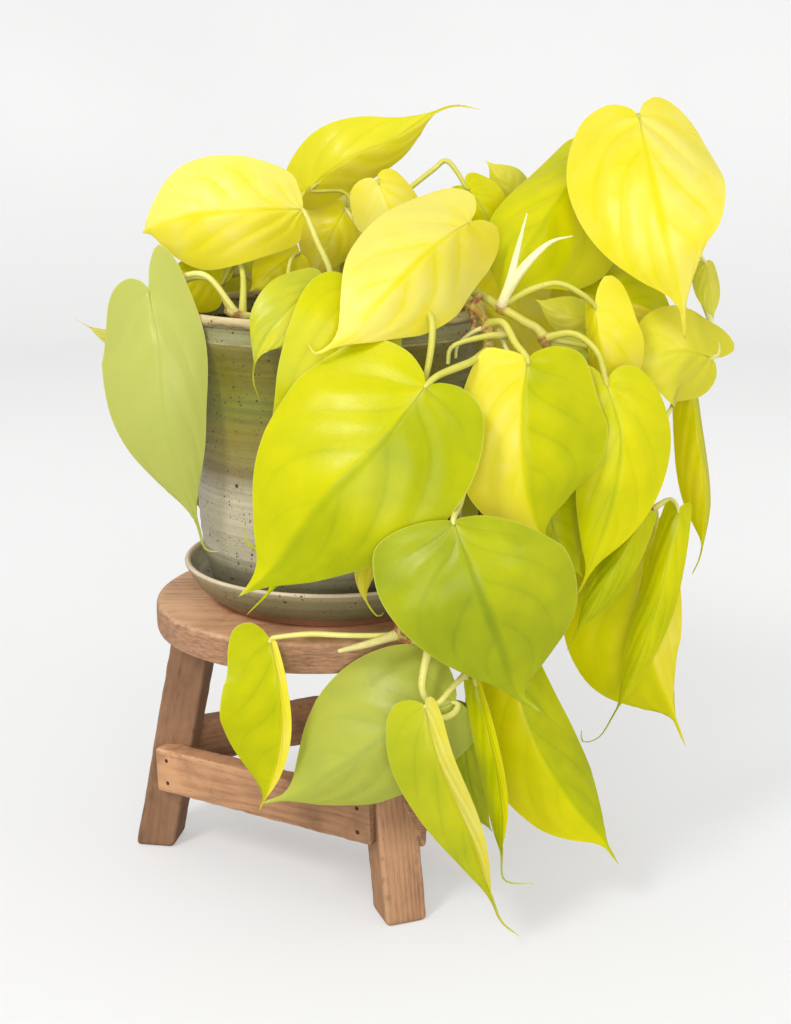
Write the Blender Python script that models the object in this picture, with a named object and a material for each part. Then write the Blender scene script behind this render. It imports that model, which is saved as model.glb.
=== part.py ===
"""A trailing heartleaf plant in a stoneware pot and saucer, standing on a small three-legged stool.

Sizes are in millimetres and become metres when a mesh is made. The stool's own axis is the line
x = y = 0 of the tables below, the floor is z = 0, and the front of the plant faces -Y. Every object
hangs on one empty, which moves that axis so that the part's origin is the bottom centre of its box.
"""
import math
from dataclasses import dataclass

import bmesh
import bpy
import numpy as np

MM = 0.001
GAP = 0.3

# Place of the stool's axis in the part's own frame
STOOL_AXIS_X = -45.0
STOOL_AXIS_Y = 8.0

# Stool: a round top on three square legs that splay outwards
TOP_R = 87.5
TOP_Z = 147.0
TOP_THICK = 16.0
TOP_EDGE_R = 2.5
LEG_SIDE = 22.0
LEG_EDGE = 1.5
LEG_HEAD_R = 66.4
LEG_FOOT_R = 92.5
LEG_AZIMUTH = 27.6
LEG_TURN = -6.9
LEGS = ("stool_leg_front", "stool_leg_left", "stool_leg_back")

# Stretchers: boards lapped over one leg and ending against the next
STRETCHERS = ("stretcher_front", "stretcher_rear", "stretcher_right")
STRETCHER_Z = 51.0
STRETCHER_RISE = 4.0
STRETCHER_TALL = 25.0
STRETCHER_THICK = 12.0
STRETCHER_OUT = 12.0
STRETCHER_LAP = (-2.0, 7.0, 7.0)
STRETCHER_SHORT = 1.0

# Pot and saucer: radii, and heights above the stool top
POT_X = 6.3
ROUND_STEPS = 36
SAUCER_RIM_R = 78.0
SAUCER_RIM_Z = 22.0
SAUCER_FOOT_R = 61.0
SAUCER_WALL = 3.0
SAUCER_INSIDE = ((58.0, 3.7), (66.0, 10.0))
SAUCER_OUTSIDE = ((70.0, 8.0), (64.5, 3.2))
POT_Z = 4.3
POT_RIM_R = 81.3
POT_RIM_Z = 155.0
POT_LIP_TALL = 6.0
POT_LIP_INSIDE = ((76.0, 153.5), (77.5, POT_RIM_Z))
POT_COVE_Z = (145.0, 148.2)
POT_COVE_R = 79.6
POT_RIDGE_R = 80.5
POT_RIDGE_Z = 142.6
POT_BODY = ((77.6, 122.0), (74.0, 98.0), (70.6, 66.0), (68.5, 36.0), (64.0, 14.0), (55.0, POT_Z))
POT_FLOOR = (53.0, 12.0)
POT_INSIDE = ((57.0, 14.0), (63.0, 36.0), (69.0, 100.0), (75.0, 147.0))

# Soil: fills the pot, slightly mounded, with a plain hole for each stem
SOIL_TOP_Z = 142.5
SOIL_MOUND = (45.0, 141.7)
SOIL_EDGE_Z = 139.0
SOIL_HOLE_R = 3.0
SOIL_HOLE_SIDES = 12
STEM_FOOT_Z = 281.0

# Foliage. Rows of faces along a blade: up to this length, this many
BLADE_THICK = 0.8
BLADE_COLS = 2
BLADE_ROWS = ((40, 4), (100, 6), (200, 7))
COLUMN_SWEEP = 1.6
SLANT_FADE = 2.5
CURVE_READS = 400
RIB_READS = 201
MAIN_SIDES = 5
STALK_SIDES = 4

# Half outline of a blade: how far out, in half widths, and how far along, in lengths.
# A length below 0 is the lobe beside the leaf stalk, and -1 is the lobe's own depth.
MARGIN = (
    (0.00, 0.00), (0.10, -0.55), (0.34, -1.00), (0.66, -0.60), (0.90, 0.09), (1.00, 0.27),
    (0.94, 0.45), (0.74, 0.62), (0.46, 0.765), (0.22, 0.865), (0.085, 0.935), (0.00, 1.00),
)
MARGIN_BELLY = 0.27


@dataclass(frozen=True)
class Leaf:
    """One blade. The halves are seen from the face side with the tip down.

    left and right are (half width, angle): a positive angle lifts the half towards the viewer.
    lobe, belly and arch may be one number or one for each half: the depth of the lobes and the place
    of the widest point in lengths, and how far a half turns back over its width, in degrees.
    """

    name: str
    vine: str
    rib: tuple
    left: tuple
    right: tuple
    lobe: object = 0.08
    belly: object = 0.3
    arch: object = 25
    slant: float = 0
    face: tuple = (0, 14)


@dataclass(frozen=True)
class Stem:
    """A round stretch of stem or leaf stalk through points, thinning from the first end to the last."""

    vine: str
    points: tuple
    thick: tuple
    steps: int
    sides: int = STALK_SIDES


@dataclass(frozen=True)
class Hanging:
    """A leaf on the far side of the pot, which hangs down outside it from its own stalk.

    azimuth runs from the front towards +X, about the pot's axis. sway moves the tip sideways,
    in hundredths of the length. node is the point of the stem that the stalk leaves.
    """

    vine: str
    azimuth: float
    radius: float
    z: float
    length: float
    sway: float
    node: tuple


LEAVES = (
    Leaf("broad leaf over the pot front", "front", (
        (54, -112, 277), (35, -124, 254), (11, -128, 230), (-10, -122, 202), (-20, -119, 190),
        (-32, -117, 180)),
        left=(49, -14), right=(45, -4), lobe=(0.12, 0.11), belly=0.3, arch=(16, 14)),
    Leaf("bright leaf beside it", "front", (
        (101, -90, 286), (99, -98, 259), (101, -100, 231), (105, -98, 212), (111, -96, 199)),
        left=(32, 0), right=(45, -16), lobe=0.09, belly=(0.43, 0.38), arch=(14, 16)),
    Leaf("broad leaf at the stool top", "front", (
        (66, -131, 220), (76, -144, 196), (87, -141, 165), (95, -134, 141), (100, -133, 135),
        (107, -132, 130)),
        left=(41, 2), right=(50, -14), lobe=0.03, belly=0.28, arch=(14, 22), slant=12),
    Leaf("folded leaf at the lower left", "front", (
        (-19, -98, 153), (-23, -108, 131), (-22, -108, 104), (-24, -104, 81), (-26, -101, 68)),
        left=(24, -30), right=(15, 42), lobe=0.08, belly=(0.45, 0.55), arch=(-20, 30)),
    Leaf("dusty leaf below the stool top", "front", (
        (69, -108, 126), (43, -114, 115), (14, -114, 94), (-6, -108, 79), (-24, -105, 72)),
        left=(36, -18), right=(38, -18), lobe=0.04, belly=0.3, arch=14),
    Leaf("long leaf before the front foot", "front", (
        (54, -124, 130), (60, -130, 105), (75, -128, 67), (87, -122, 30), (92, -120, 17),
        (101, -118, 8)),
        left=(24, -10), right=(12, 60), lobe=0.03, belly=(0.21, 0.27), arch=(20, 10)),
    Leaf("narrow leaf at the front foot", "front", (
        (78, -110, 136), (84, -120, 114), (90, -122, 82), (91, -120, 55), (93, -118, 38),
        (108, -116, 35)),
        left=(12, -35), right=(5, 50), lobe=0.02, belly=0.55, arch=10),
    Leaf("short leaf behind it", "front", (
        (75, -96, 120), (74, -101, 98), (79, -101, 72), (88, -99, 54)),
        left=(17, -14), right=(16, -14), lobe=0.02, belly=0.35, arch=14),
    Leaf("leaf pointing down to the right", "front", (
        (97, -84, 134), (109, -92, 99), (127, -92, 68), (144, -88, 44), (153, -84, 29)),
        left=(39, -16), right=(26, -40), lobe=0.08, belly=(0.46, 0.42), arch=16),
    Leaf("curled leaf over the saucer", "front", (
        (48, -84, 216), (37, -90, 199), (27, -92, 182), (26, -92, 170), (31, -91, 162), (34, -90, 167)),
        left=(13, -6), right=(13, -10), lobe=0.08, belly=0.3, arch=12),
    Leaf("leaf behind the broad one", "centre", (
        (31, -100, 255), (15, -106, 228), (-4, -107, 200), (-17, -104, 180), (-30, -101, 166)),
        left=(22, -8), right=(22, -8), lobe=0.08, belly=0.3, arch=12),
    Leaf("pale leaf over the rim", "centre", (
        (76, -52, 346), (57, -77, 335), (37, -97, 317), (21, -102, 301), (11, -101, 293)),
        left=(33, -14), right=(35, -20), lobe=0.17, belly=0.32, arch=22),
    Leaf("long leaf down the pot", "centre", (
        (21, -80, 319), (17, -91, 304), (11, -94, 281), (5, -94, 258), (-11, -92, 220),
        (-23, -90, 197), (-30, -89, 199), (-31, -88, 205)),
        left=(24, 10), right=(32, -8), lobe=0.06, belly=0.25, arch=(8, 12)),
    Leaf("top leaf pointing right", "centre", (
        (-5, 6, 358), (15, 0, 373), (40, 4, 384), (59, 8, 396), (71, 10, 400), (84, 12, 398)),
        left=(18, -50), right=(21, -8), lobe=0.08, belly=(0.33, 0.24), arch=14),
    Leaf("small leaf behind the pale one", "centre", (
        (15, 20, 349), (7, 14, 335), (-6, 10, 313)),
        left=(21, -14), right=(16, -14), lobe=0.06),
    Leaf("small pale leaf on top", "centre", (
        (31, -4, 364), (39, -12, 347), (44, -14, 324)),
        left=(23, -20), right=(19, -20), lobe=0.1),
    Leaf("small green leaf on top", "centre", (
        (76, 4, 360), (84, 2, 351), (92, 2, 334)),
        left=(15, -20), right=(17, -20), lobe=0.15),
    Leaf("pale leaf at the upper left", "left", (
        (-5, -22, 350), (-30, -30, 350), (-60, -28, 347), (-79, -20, 341), (-86, -14, 335)),
        left=(33, -8), right=(29, -16), lobe=0.02, belly=(0.55, 0.42), arch=18),
    Leaf("dusty leaf hanging at the left", "left", (
        (-78, -50, 314), (-72, -67, 289), (-70, -71, 259), (-64, -67, 229), (-57, -58, 199),
        (-54, -55, 186), (-46, -54, 184)),
        left=(32, -18), right=(23, -6), lobe=(0.07, 0.15), belly=0.28, arch=(20, 14)),
    Leaf("narrow leaf pointing left", "left", (
        (-85, -12, 278), (-105, -14, 286), (-122, -16, 296)),
        left=(8, -14), right=(8, -14), lobe=0.05),
    Leaf("leaf lying at the left rim", "left", (
        (-48, -6, 312), (-61, -4, 317), (-75, -2, 321)),
        left=(16, -20), right=(20, -20), lobe=0.1),
    Leaf("curled leaf at the rim", "left", (
        (6, -72, 318), (-5, -84, 311), (-16, -89, 300), (-23, -90, 288), (-25, -89, 276),
        (-22, -87, 265)),
        left=(14, -8), right=(13, -2), lobe=0.08, belly=0.3, arch=12),
    Leaf("leaf inside the left rim", "left", (
        (-8, -8, 328), (-20, -14, 321), (-33, -16, 309)),
        left=(15, -14), right=(15, -14), lobe=0.06),
    Leaf("small leaf at the top right", "crown", (
        (110, 26, 346), (97, 22, 363), (87, 24, 373)),
        left=(14, -20), right=(12, -20), lobe=0.06),
    Leaf("largest pale leaf", "crown", (
        (159, -18, 395), (161, -48, 370), (167, -66, 338), (175, -64, 312), (179, -58, 291)),
        left=(44, -12), right=(41, -12), lobe=0.11, belly=0.3, arch=22),
    Leaf("leaf behind the largest", "crown", (
        (142, 8, 378), (121, -22, 355), (102, -38, 328), (92, -40, 311)),
        left=(35, -30), right=(44, -18), lobe=0.08, belly=0.32, arch=16),
    Leaf("leaf below the largest", "crown", (
        (134, -6, 309), (153, -16, 305), (168, -18, 301), (184, -16, 294)),
        left=(11, -30), right=(25, -20), lobe=0.08, belly=0.4),
    Leaf("small dusty leaf pointing left", "crown", (
        (141, -34, 298), (126, -40, 300), (108, -40, 308)),
        left=(11, -10), right=(11, -20), lobe=0.05),
    Leaf("heart leaf at the right", "crown", (
        (198, -32, 278), (182, -44, 283), (167, -48, 281), (150, -46, 273)),
        left=(23, -14), right=(22, -14), lobe=(0.34, 0.14), belly=0.3, arch=18),
    Leaf("small edge-on leaf at the right", "crown", (
        (195, -18, 324), (196, -27, 311), (198, -31, 296)),
        left=(8, -14), right=(7, -14), lobe=0.05),
    Leaf("small dusty leaf in the gap", "right", (
        (144, -43, 283), (132, -50, 282), (118, -52, 285)),
        left=(13, -20), right=(14, -20), lobe=0.05),
    Leaf("narrow bright leaf", "right", (
        (135, -60, 307), (137, -63, 291), (142, -58, 269), (151, -52, 248)),
        left=(11, -60), right=(23, -6), lobe=(0.05, 0.22), belly=0.38, arch=14),
    Leaf("edge-on leaf at the far right", "right", (
        (193, -10, 260), (197, -20, 229), (201, -20, 197), (201, -16, 173), (197, -14, 160)),
        left=(16, -30), right=(15, -60), lobe=0.03, belly=0.4, arch=14),
    Leaf("leaf hanging at the right front", "right", (
        (140, -73, 272), (147, -81, 246), (143, -82, 213), (135, -80, 185), (129, -77, 169)),
        left=(20, -6), right=(28, -16), lobe=0.1, belly=(0.33, 0.28), arch=(10, 18)),
    Leaf("small leaf in the gap", "right", (
        (114, -70, 220), (118, -74, 196), (132, -72, 176)),
        left=(12, -14), right=(10, -14), lobe=0.08),
    Leaf("narrow leaf in front", "right", (
        (162, -66, 208), (150, -74, 188), (137, -76, 165), (125, -72, 138)),
        left=(12, -50), right=(11, -20), lobe=0.03, belly=0.35, arch=10),
    Leaf("wide leaf at the lower right", "right", (
        (173, -34, 194), (166, -46, 162), (171, -48, 125), (185, -40, 94), (194, -36, 72)),
        left=(47, -14), right=(28, -26), lobe=0.06, belly=(0.5, 0.33), arch=20),
    Leaf("long narrow leaf with a hooked tip", "right", (
        (180, -56, 206), (175, -62, 182), (171, -64, 162), (165, -64, 141), (157, -60, 113),
        (151, -57, 97), (145, -56, 86), (137, -55, 83), (136, -54, 90)),
        left=(12, -40), right=(11, -20), lobe=0.03, belly=0.33, arch=10),
    Leaf("leaf over the back rim", "back", (
        (15, 36, 350), (12, 60, 365), (8, 88, 363), (5, 112, 346), (4, 122, 328)),
        left=(34, -12), right=(34, -14), lobe=0.12, arch=20, face=(180, 62)),
    Leaf("leaf over the back left rim", "back_left", (
        (-23, 22, 332), (-46, 33, 343), (-70, 43, 339), (-88, 51, 322)),
        left=(31, -14), right=(30, -16), lobe=0.12, arch=20, face=(240, 62)),
    Leaf("leaf over the back right rim", "back_right", (
        (38, 30, 331), (53, 48, 342), (68, 67, 339), (80, 84, 323)),
        left=(30, -14), right=(30, -16), lobe=0.12, arch=20, face=(145, 62)),
)

STEMS = (
    Stem("front", (
        (48, -24, 281), (48, -24, 289), (51, -26, 299), (60, -33, 307), (76, -42, 308), (84, -58, 297),
        (84, -72, 287), (83, -82, 266), (75, -86, 233), (60, -96, 192), (42, -104, 160),
        (58, -104, 152), (78, -100, 137)),
        thick=(2.3, 1.9), steps=18, sides=MAIN_SIDES),
    Stem("front", (
        (84, -71, 287), (75, -92, 285), (60, -106, 281), (54, -112, 277), (51, -114, 274)),
        thick=(2.0, 1.5), steps=6),
    Stem("front", (
        (84, -57, 298), (91, -70, 300), (96, -82, 292), (101, -90, 286), (101, -92, 282)),
        thick=(1.9, 1.5), steps=6),
    Stem("front", (
        (75, -86, 233), (70, -110, 223), (66, -131, 220), (68, -134, 216)),
        thick=(1.6, 1.4), steps=4),
    Stem("front", (
        (39, -104, 157), (17, -106, 158), (0, -104, 158), (-16, -100, 155), (-19, -98, 153),
        (-20, -101, 149)),
        thick=(1.4, 1.2), steps=8),
    Stem("front", (
        (42, -104, 158), (27, -110, 155), (14, -114, 153)),
        thick=(2.2, 2.3), steps=3),
    Stem("front", (
        (57, -104, 154), (54, -112, 144), (53, -116, 135), (57, -116, 126), (62, -114, 120),
        (68, -111, 121), (70, -109, 125), (65, -109, 126)),
        thick=(1.9, 1.5), steps=10),
    Stem("front", (
        (76, -101, 139), (68, -116, 137), (60, -124, 131), (54, -124, 130), (55, -126, 126)),
        thick=(1.5, 1.2), steps=6),
    Stem("front", (
        (78, -100, 137), (78, -106, 137), (78, -111, 136), (80, -113, 131)),
        thick=(1.5, 1.2), steps=4),
    Stem("front", (
        (78, -100, 137), (76, -96, 127), (75, -96, 120), (75, -97, 115)),
        thick=(1.4, 1.1), steps=4),
    Stem("front", (
        (78, -100, 137), (88, -92, 139), (97, -84, 134), (99, -86, 128)),
        thick=(1.4, 1.1), steps=5),
    Stem("front", (
        (75, -86, 233), (62, -82, 225), (48, -84, 216), (46, -85, 212)),
        thick=(1.4, 1.1), steps=5),
    Stem("centre", (
        (30, -10, 281), (30, -10, 296), (30, -8, 314), (34, -4, 332), (38, 2, 352)),
        thick=(2.2, 1.8), steps=7, sides=MAIN_SIDES),
    Stem("centre", (
        (34, -4, 330), (75, -40, 326), (76, -50, 345), (73, -55, 344)),
        thick=(1.5, 1.2), steps=6),
    Stem("centre", (
        (30, -8, 314), (33, -44, 324), (21, -80, 319), (19, -86, 314)),
        thick=(1.5, 1.2), steps=5),
    Stem("centre", (
        (34, -4, 330), (21, 0, 341), (18, 10, 353), (12, 10, 358), (-2, 6, 358), (1, 5, 362)),
        thick=(1.2, 1.0), steps=8),
    Stem("centre", (
        (30, -8, 315), (28, 4, 328), (15, 19, 348), (13, 18, 344)),
        thick=(1.2, 1.0), steps=5),
    Stem("centre", (
        (38, 2, 352), (39, 4, 358), (32, -3, 364), (33, -6, 360)),
        thick=(1.2, 1.0), steps=5),
    Stem("centre", (
        (38, 2, 352), (59, 8, 368), (66, 8, 373), (72, 6, 367), (76, 4, 360), (78, 3, 359)),
        thick=(1.5, 1.1), steps=8),
    Stem("centre", (
        (30, -9, 302), (38, -40, 306), (48, -66, 307), (57, -90, 304), (54, -96, 278), (44, -99, 263),
        (31, -100, 255), (28, -102, 251)),
        thick=(1.9, 1.3), steps=10),
    Stem("left", (
        (14, -28, 281), (14, -28, 288), (12, -29, 296), (4, -32, 300), (-14, -38, 300), (-34, -42, 300),
        (-42, -40, 303)),
        thick=(2.0, 1.8), steps=9, sides=MAIN_SIDES),
    Stem("left", (
        (4, -32, 298), (9, -36, 318), (2, -28, 335), (-5, -22, 350), (-9, -24, 350)),
        thick=(1.7, 1.3), steps=7),
    Stem("left", (
        (-36, -42, 300), (-51, -40, 319), (-66, -36, 318), (-77, -46, 315), (-78, -52, 311)),
        thick=(1.6, 1.2), steps=8),
    Stem("left", (
        (-40, -41, 303), (-49, -34, 316), (-62, -24, 316), (-77, -10, 301), (-85, -11, 279),
        (-89, -12, 280)),
        thick=(1.4, 1.0), steps=9),
    Stem("left", (
        (-34, -42, 300), (-35, -26, 318), (-40, -12, 324), (-48, -6, 312), (-51, -6, 313)),
        thick=(1.7, 1.0), steps=7),
    Stem("left", (
        (-14, -38, 300), (10, -50, 318), (6, -72, 318), (3, -77, 317)),
        thick=(1.3, 1.0), steps=5),
    Stem("left", (
        (-14, -38, 300), (-12, -20, 324), (-8, -9, 328), (-10, -10, 327)),
        thick=(1.3, 1.0), steps=5),
    Stem("crown", (
        (52, 14, 281), (52, 14, 289), (53, 14, 299), (60, 16, 312), (76, 14, 330), (100, 12, 350),
        (124, 12, 362), (146, 10, 358)),
        thick=(2.3, 1.8), steps=11, sides=MAIN_SIDES),
    Stem("crown", (
        (124, 12, 362), (146, 0, 398), (161, -6, 398), (159, -17, 395), (159, -23, 391)),
        thick=(1.6, 1.2), steps=7),
    Stem("crown", (
        (110, 12, 356), (141, 20, 377), (142, 10, 379), (139, 5, 374)),
        thick=(1.5, 1.2), steps=6),
    Stem("crown", (
        (88, 13, 341), (115, 14, 333), (111, 26, 345), (108, 26, 350)),
        thick=(1.2, 1.0), steps=5),
    Stem("crown", (
        (88, 13, 341), (133, 4, 318), (134, -6, 309), (138, -8, 308)),
        thick=(1.2, 1.0), steps=5),
    Stem("crown", (
        (110, 12, 356), (147, -10, 312), (141, -34, 298), (137, -36, 298)),
        thick=(1.3, 1.0), steps=6),
    Stem("crown", (
        (146, 10, 358), (176, 0, 345), (201, -22, 288), (198, -32, 278), (194, -35, 280)),
        thick=(1.5, 1.1), steps=7),
    Stem("crown", (
        (146, 10, 358), (168, 0, 352), (195, -18, 324), (195, -21, 320)),
        thick=(1.2, 1.0), steps=5),
    Stem("right", (
        (56, -12, 281), (56, -12, 289), (58, -14, 299), (66, -22, 307), (80, -34, 310), (90, -56, 306),
        (101, -62, 300), (111, -64, 292), (119, -66, 263), (135, -64, 233), (155, -56, 211),
        (168, -48, 204)),
        thick=(2.3, 1.8), steps=15, sides=MAIN_SIDES),
    Stem("right", (
        (91, -57, 307), (105, -62, 315), (117, -64, 318), (128, -63, 313), (135, -60, 307),
        (135, -62, 304)),
        thick=(1.7, 1.2), steps=8),
    Stem("right", (
        (111, -64, 292), (124, -70, 295), (135, -74, 287), (140, -73, 272), (142, -75, 267)),
        thick=(1.7, 1.3), steps=6),
    Stem("right", (
        (111, -64, 292), (130, -52, 287), (142, -44, 284), (139, -46, 282)),
        thick=(1.2, 1.0), steps=5),
    Stem("right", (
        (117, -66, 272), (112, -68, 239), (114, -70, 220), (115, -71, 216)),
        thick=(1.3, 1.0), steps=5),
    Stem("right", (
        (155, -58, 212), (161, -62, 213), (162, -66, 208), (160, -68, 205)),
        thick=(1.3, 1.0), steps=4),
    Stem("right", (
        (161, -54, 208), (171, -44, 203), (173, -34, 194), (172, -36, 190)),
        thick=(1.3, 1.0), steps=5),
    Stem("right", (
        (168, -48, 204), (177, -50, 210), (180, -56, 206), (179, -57, 201)),
        thick=(1.3, 1.0), steps=4),
    Stem("right", (
        (155, -58, 212), (172, -40, 243), (189, -12, 261), (193, -10, 260), (193, -12, 256)),
        thick=(1.3, 1.0), steps=7),
    Stem("right", (
        (91, -58, 307), (94, -62, 317), (97, -64, 331), (102, -60, 350)),
        thick=(2.2, 0.4), steps=6),
    Stem("right", (
        (92, -59, 310), (100, -66, 325), (112, -68, 337), (123, -66, 340)),
        thick=(2.2, 0.4), steps=6),
    Stem("back_right", (
        (34, 34, 281), (34, 34, 289), (37, 37, 299), (48, 50, 309), (62, 64, 309), (80, 68, 270),
        (86, 64, 240), (88, 60, 200), (90, 56, 168)),
        thick=(2.2, 1.7), steps=12, sides=MAIN_SIDES),
    Stem("back", (
        (10, 40, 281), (10, 40, 289), (11, 45, 299), (12, 64, 309), (12, 81, 311), (8, 92, 298),
        (4, 94, 250), (6, 96, 200), (4, 96, 170)),
        thick=(2.2, 1.7), steps=13, sides=MAIN_SIDES),
    Stem("back_left", (
        (-18, 30, 281), (-18, 30, 289), (-21, 33, 299), (-34, 46, 308), (-48, 60, 312), (-60, 66, 298),
        (-66, 64, 262), (-65, 63, 238)),
        thick=(2.1, 1.7), steps=11, sides=MAIN_SIDES),
    Stem("back", (
        (10, 43, 295), (12, 37, 318), (16, 31, 346), (15, 38, 352)),
        thick=(1.6, 1.2), steps=5),
    Stem("back_left", (
        (-20, 32, 296), (-20, 27, 314), (-19, 18, 328), (-25, 23, 334)),
        thick=(1.6, 1.2), steps=5),
    Stem("back_right", (
        (36, 36, 296), (37, 32, 312), (35, 26, 328), (39, 32, 333)),
        thick=(1.6, 1.2), steps=5),
)

HANGING = (
    Hanging("back_right", azimuth=128, radius=104, z=318, length=100, sway=10, node=(62, 64, 309)),
    Hanging("back_right", azimuth=105, radius=126, z=250, length=92, sway=-14, node=(86, 64, 240)),
    Hanging("back_right", azimuth=140, radius=113, z=240, length=98, sway=12, node=(80, 68, 270)),
    Hanging("back_right", azimuth=116, radius=120, z=165, length=88, sway=0, node=(90, 56, 168)),
    Hanging("back", azimuth=172, radius=106, z=330, length=96, sway=-10, node=(12, 80, 312)),
    Hanging("back", azimuth=192, radius=112, z=262, length=104, sway=8, node=(4, 94, 250)),
    Hanging("back", azimuth=165, radius=122, z=236, length=92, sway=-8, node=(4, 94, 250)),
    Hanging("back", azimuth=184, radius=116, z=160, length=90, sway=0, node=(4, 96, 170)),
    Hanging("back_left", azimuth=222, radius=100, z=322, length=94, sway=6, node=(-48, 60, 312)),
    Hanging("back_left", azimuth=258, radius=102, z=288, length=84, sway=-8, node=(-60, 66, 298)),
    Hanging("back_left", azimuth=222, radius=104, z=238, length=74, sway=6, node=(-65, 63, 238)),
)
HANGING_HALF = 0.38
HANGING_ANGLE = -16
HANGING_OUT = (0, 0.12, 0.144, 0.096)
HANGING_ALONG = (0, 0.33, 0.66, 1)
STALK_RISE = 9
STALK_OUT = 2

VINES = ("front", "centre", "left", "crown", "right", "back_right", "back", "back_left")
# Vines whose many touching blades the exact solver can leave in pieces
CLOSED_MESH_VINES = ("front", "centre", "left", "crown", "right")


def material(name, colour, roughness):
    """Plain coat for one sub-part: a linear colour and a roughness."""
    coat = bpy.data.materials.new(name)
    coat.use_nodes = True
    shader = coat.node_tree.nodes["Principled BSDF"]
    shader.inputs["Base Color"].default_value = (*colour, 1)
    shader.inputs["Roughness"].default_value = roughness
    shader.inputs["Metallic"].default_value = 0
    coat.diffuse_color = (*colour, 1)
    return coat


def add_object(name, mesh, coat=None, parent=None):
    """Object for a mesh, linked to the scene, with its coat and its parent."""
    piece = bpy.data.objects.new(name, mesh)
    bpy.context.scene.collection.objects.link(piece)
    if coat:
        mesh.materials.append(coat)
    piece.parent = parent
    return piece


def mesh_of(name, vertices, faces):
    """Mesh from vertices in millimetres."""
    mesh = bpy.data.meshes.new(name)
    mesh.from_pydata((np.asarray(vertices) * MM).tolist(), [], [list(map(int, face)) for face in faces])
    mesh.validate()
    mesh.update()
    return mesh


def shade_round(mesh):
    """Smooth shading that keeps edges sharper than 40 degrees."""
    mesh.shade_smooth()
    mesh.set_sharp_from_angle(angle=math.radians(40))


def turned(name, profile, coat, parent, x=0.0, z=0.0, steps=ROUND_STEPS):
    """Solid of revolution about Z. The profile starts on the axis and runs down its outer side."""
    mesh = bpy.data.meshes.new(name)
    points = [(r * MM, 0, h * MM) for r, h in profile]
    mesh.from_pydata(points, [(k, k + 1) for k in range(len(points) - 1)], [])
    piece = add_object(name, mesh, coat, parent)
    piece.location = (x * MM, 0, z * MM)
    screw = piece.modifiers.new("turn", "SCREW")
    screw.axis = "Z"
    screw.steps = steps
    screw.render_steps = steps
    screw.use_merge_vertices = True
    screw.merge_threshold = 0.00001
    screw.use_smooth_shade = True
    return piece


def arc(r, z, radius, start, end, steps):
    """Points of a round corner about (r, z), between two angles in degrees from outwards."""
    turns = [math.radians(start + (end - start) * k / steps) for k in range(steps + 1)]
    return [(r + radius * math.cos(a), z + radius * math.sin(a)) for a in turns]


def leg_frame(index):
    """Outward direction of a leg, and the turn of its square section about Z."""
    azimuth = math.radians(LEG_AZIMUTH - 120 * index)
    outward = (math.sin(azimuth), -math.cos(azimuth))
    return outward, azimuth + math.radians(LEG_TURN)


def leg_radius(z):
    """Distance of a leg's middle line from the stool's axis at height z."""
    return LEG_FOOT_R + (LEG_HEAD_R - LEG_FOOT_R) * z / (TOP_Z - TOP_THICK)


def leg_mesh(name, index, grow=0.0):
    """Splayed leg: a square prism sheared outwards, so that both ends are level.

    grow widens it on every side, for cutting the boards, and runs it past both ends.
    """
    outward, turn = leg_frame(index)
    half = LEG_SIDE / 2 + grow
    mesh = bmesh.new()
    rings = []
    for z in (-grow, TOP_Z - TOP_THICK - GAP + grow):
        reach = leg_radius(z)
        ring = []
        for sx, sy in ((-1, -1), (1, -1), (1, 1), (-1, 1)):
            x = sx * half * math.cos(turn) - sy * half * math.sin(turn) + outward[0] * reach
            y = sx * half * math.sin(turn) + sy * half * math.cos(turn) + outward[1] * reach
            ring.append(mesh.verts.new((x * MM, y * MM, z * MM)))
        rings.append(ring)
    bottom, top = rings
    mesh.faces.new(reversed(bottom))
    mesh.faces.new(top)
    for k in range(4):
        mesh.faces.new((bottom[k], bottom[(k + 1) % 4], top[(k + 1) % 4], top[k]))
    data = bpy.data.meshes.new(name)
    mesh.to_mesh(data)
    mesh.free()
    return data


def bevelled(piece, width):
    """Bevel every edge of a piece by a width in millimetres."""
    bevel = piece.modifiers.new("edges", "BEVEL")
    bevel.width = width * MM
    bevel.segments = 1
    bevel.limit_method = "ANGLE"
    bevel.angle_limit = math.radians(40)


def cut(piece, cutter):
    """Subtract a cutter, which stays in the file as a hidden wire guide."""
    step = piece.modifiers.new("cut_" + cutter.name, "BOOLEAN")
    step.operation = "DIFFERENCE"
    step.object = cutter
    cutter.hide_render = True
    cutter.display_type = "WIRE"


def build_stool(parent):
    """Round top, three splayed legs and three boards between them."""
    wood = material("stool_top_wood", (0.36, 0.20, 0.11), 0.6)
    leg_wood = material("stool_leg_wood", (0.27, 0.13, 0.07), 0.65)
    low = TOP_Z - TOP_THICK
    inner = TOP_R - TOP_EDGE_R
    profile = [(0, TOP_Z)]
    profile += arc(inner, TOP_Z - TOP_EDGE_R, TOP_EDGE_R, 90, 0, 2)
    profile += arc(inner, low + TOP_EDGE_R, TOP_EDGE_R, 0, -90, 2)
    profile += [(0, low)]
    turned("stool_top", profile, wood, parent)
    cutters = []
    for index, name in enumerate(LEGS):
        leg = add_object(name, leg_mesh(name, index), leg_wood, parent)
        bevelled(leg, LEG_EDGE)
        cutters.append(add_object("cutter_" + name, leg_mesh("cutter_" + name, index, GAP), None, parent))
    for index, name in enumerate(STRETCHERS):
        build_stretcher(name, index, cutters, leg_wood, parent)


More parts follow.
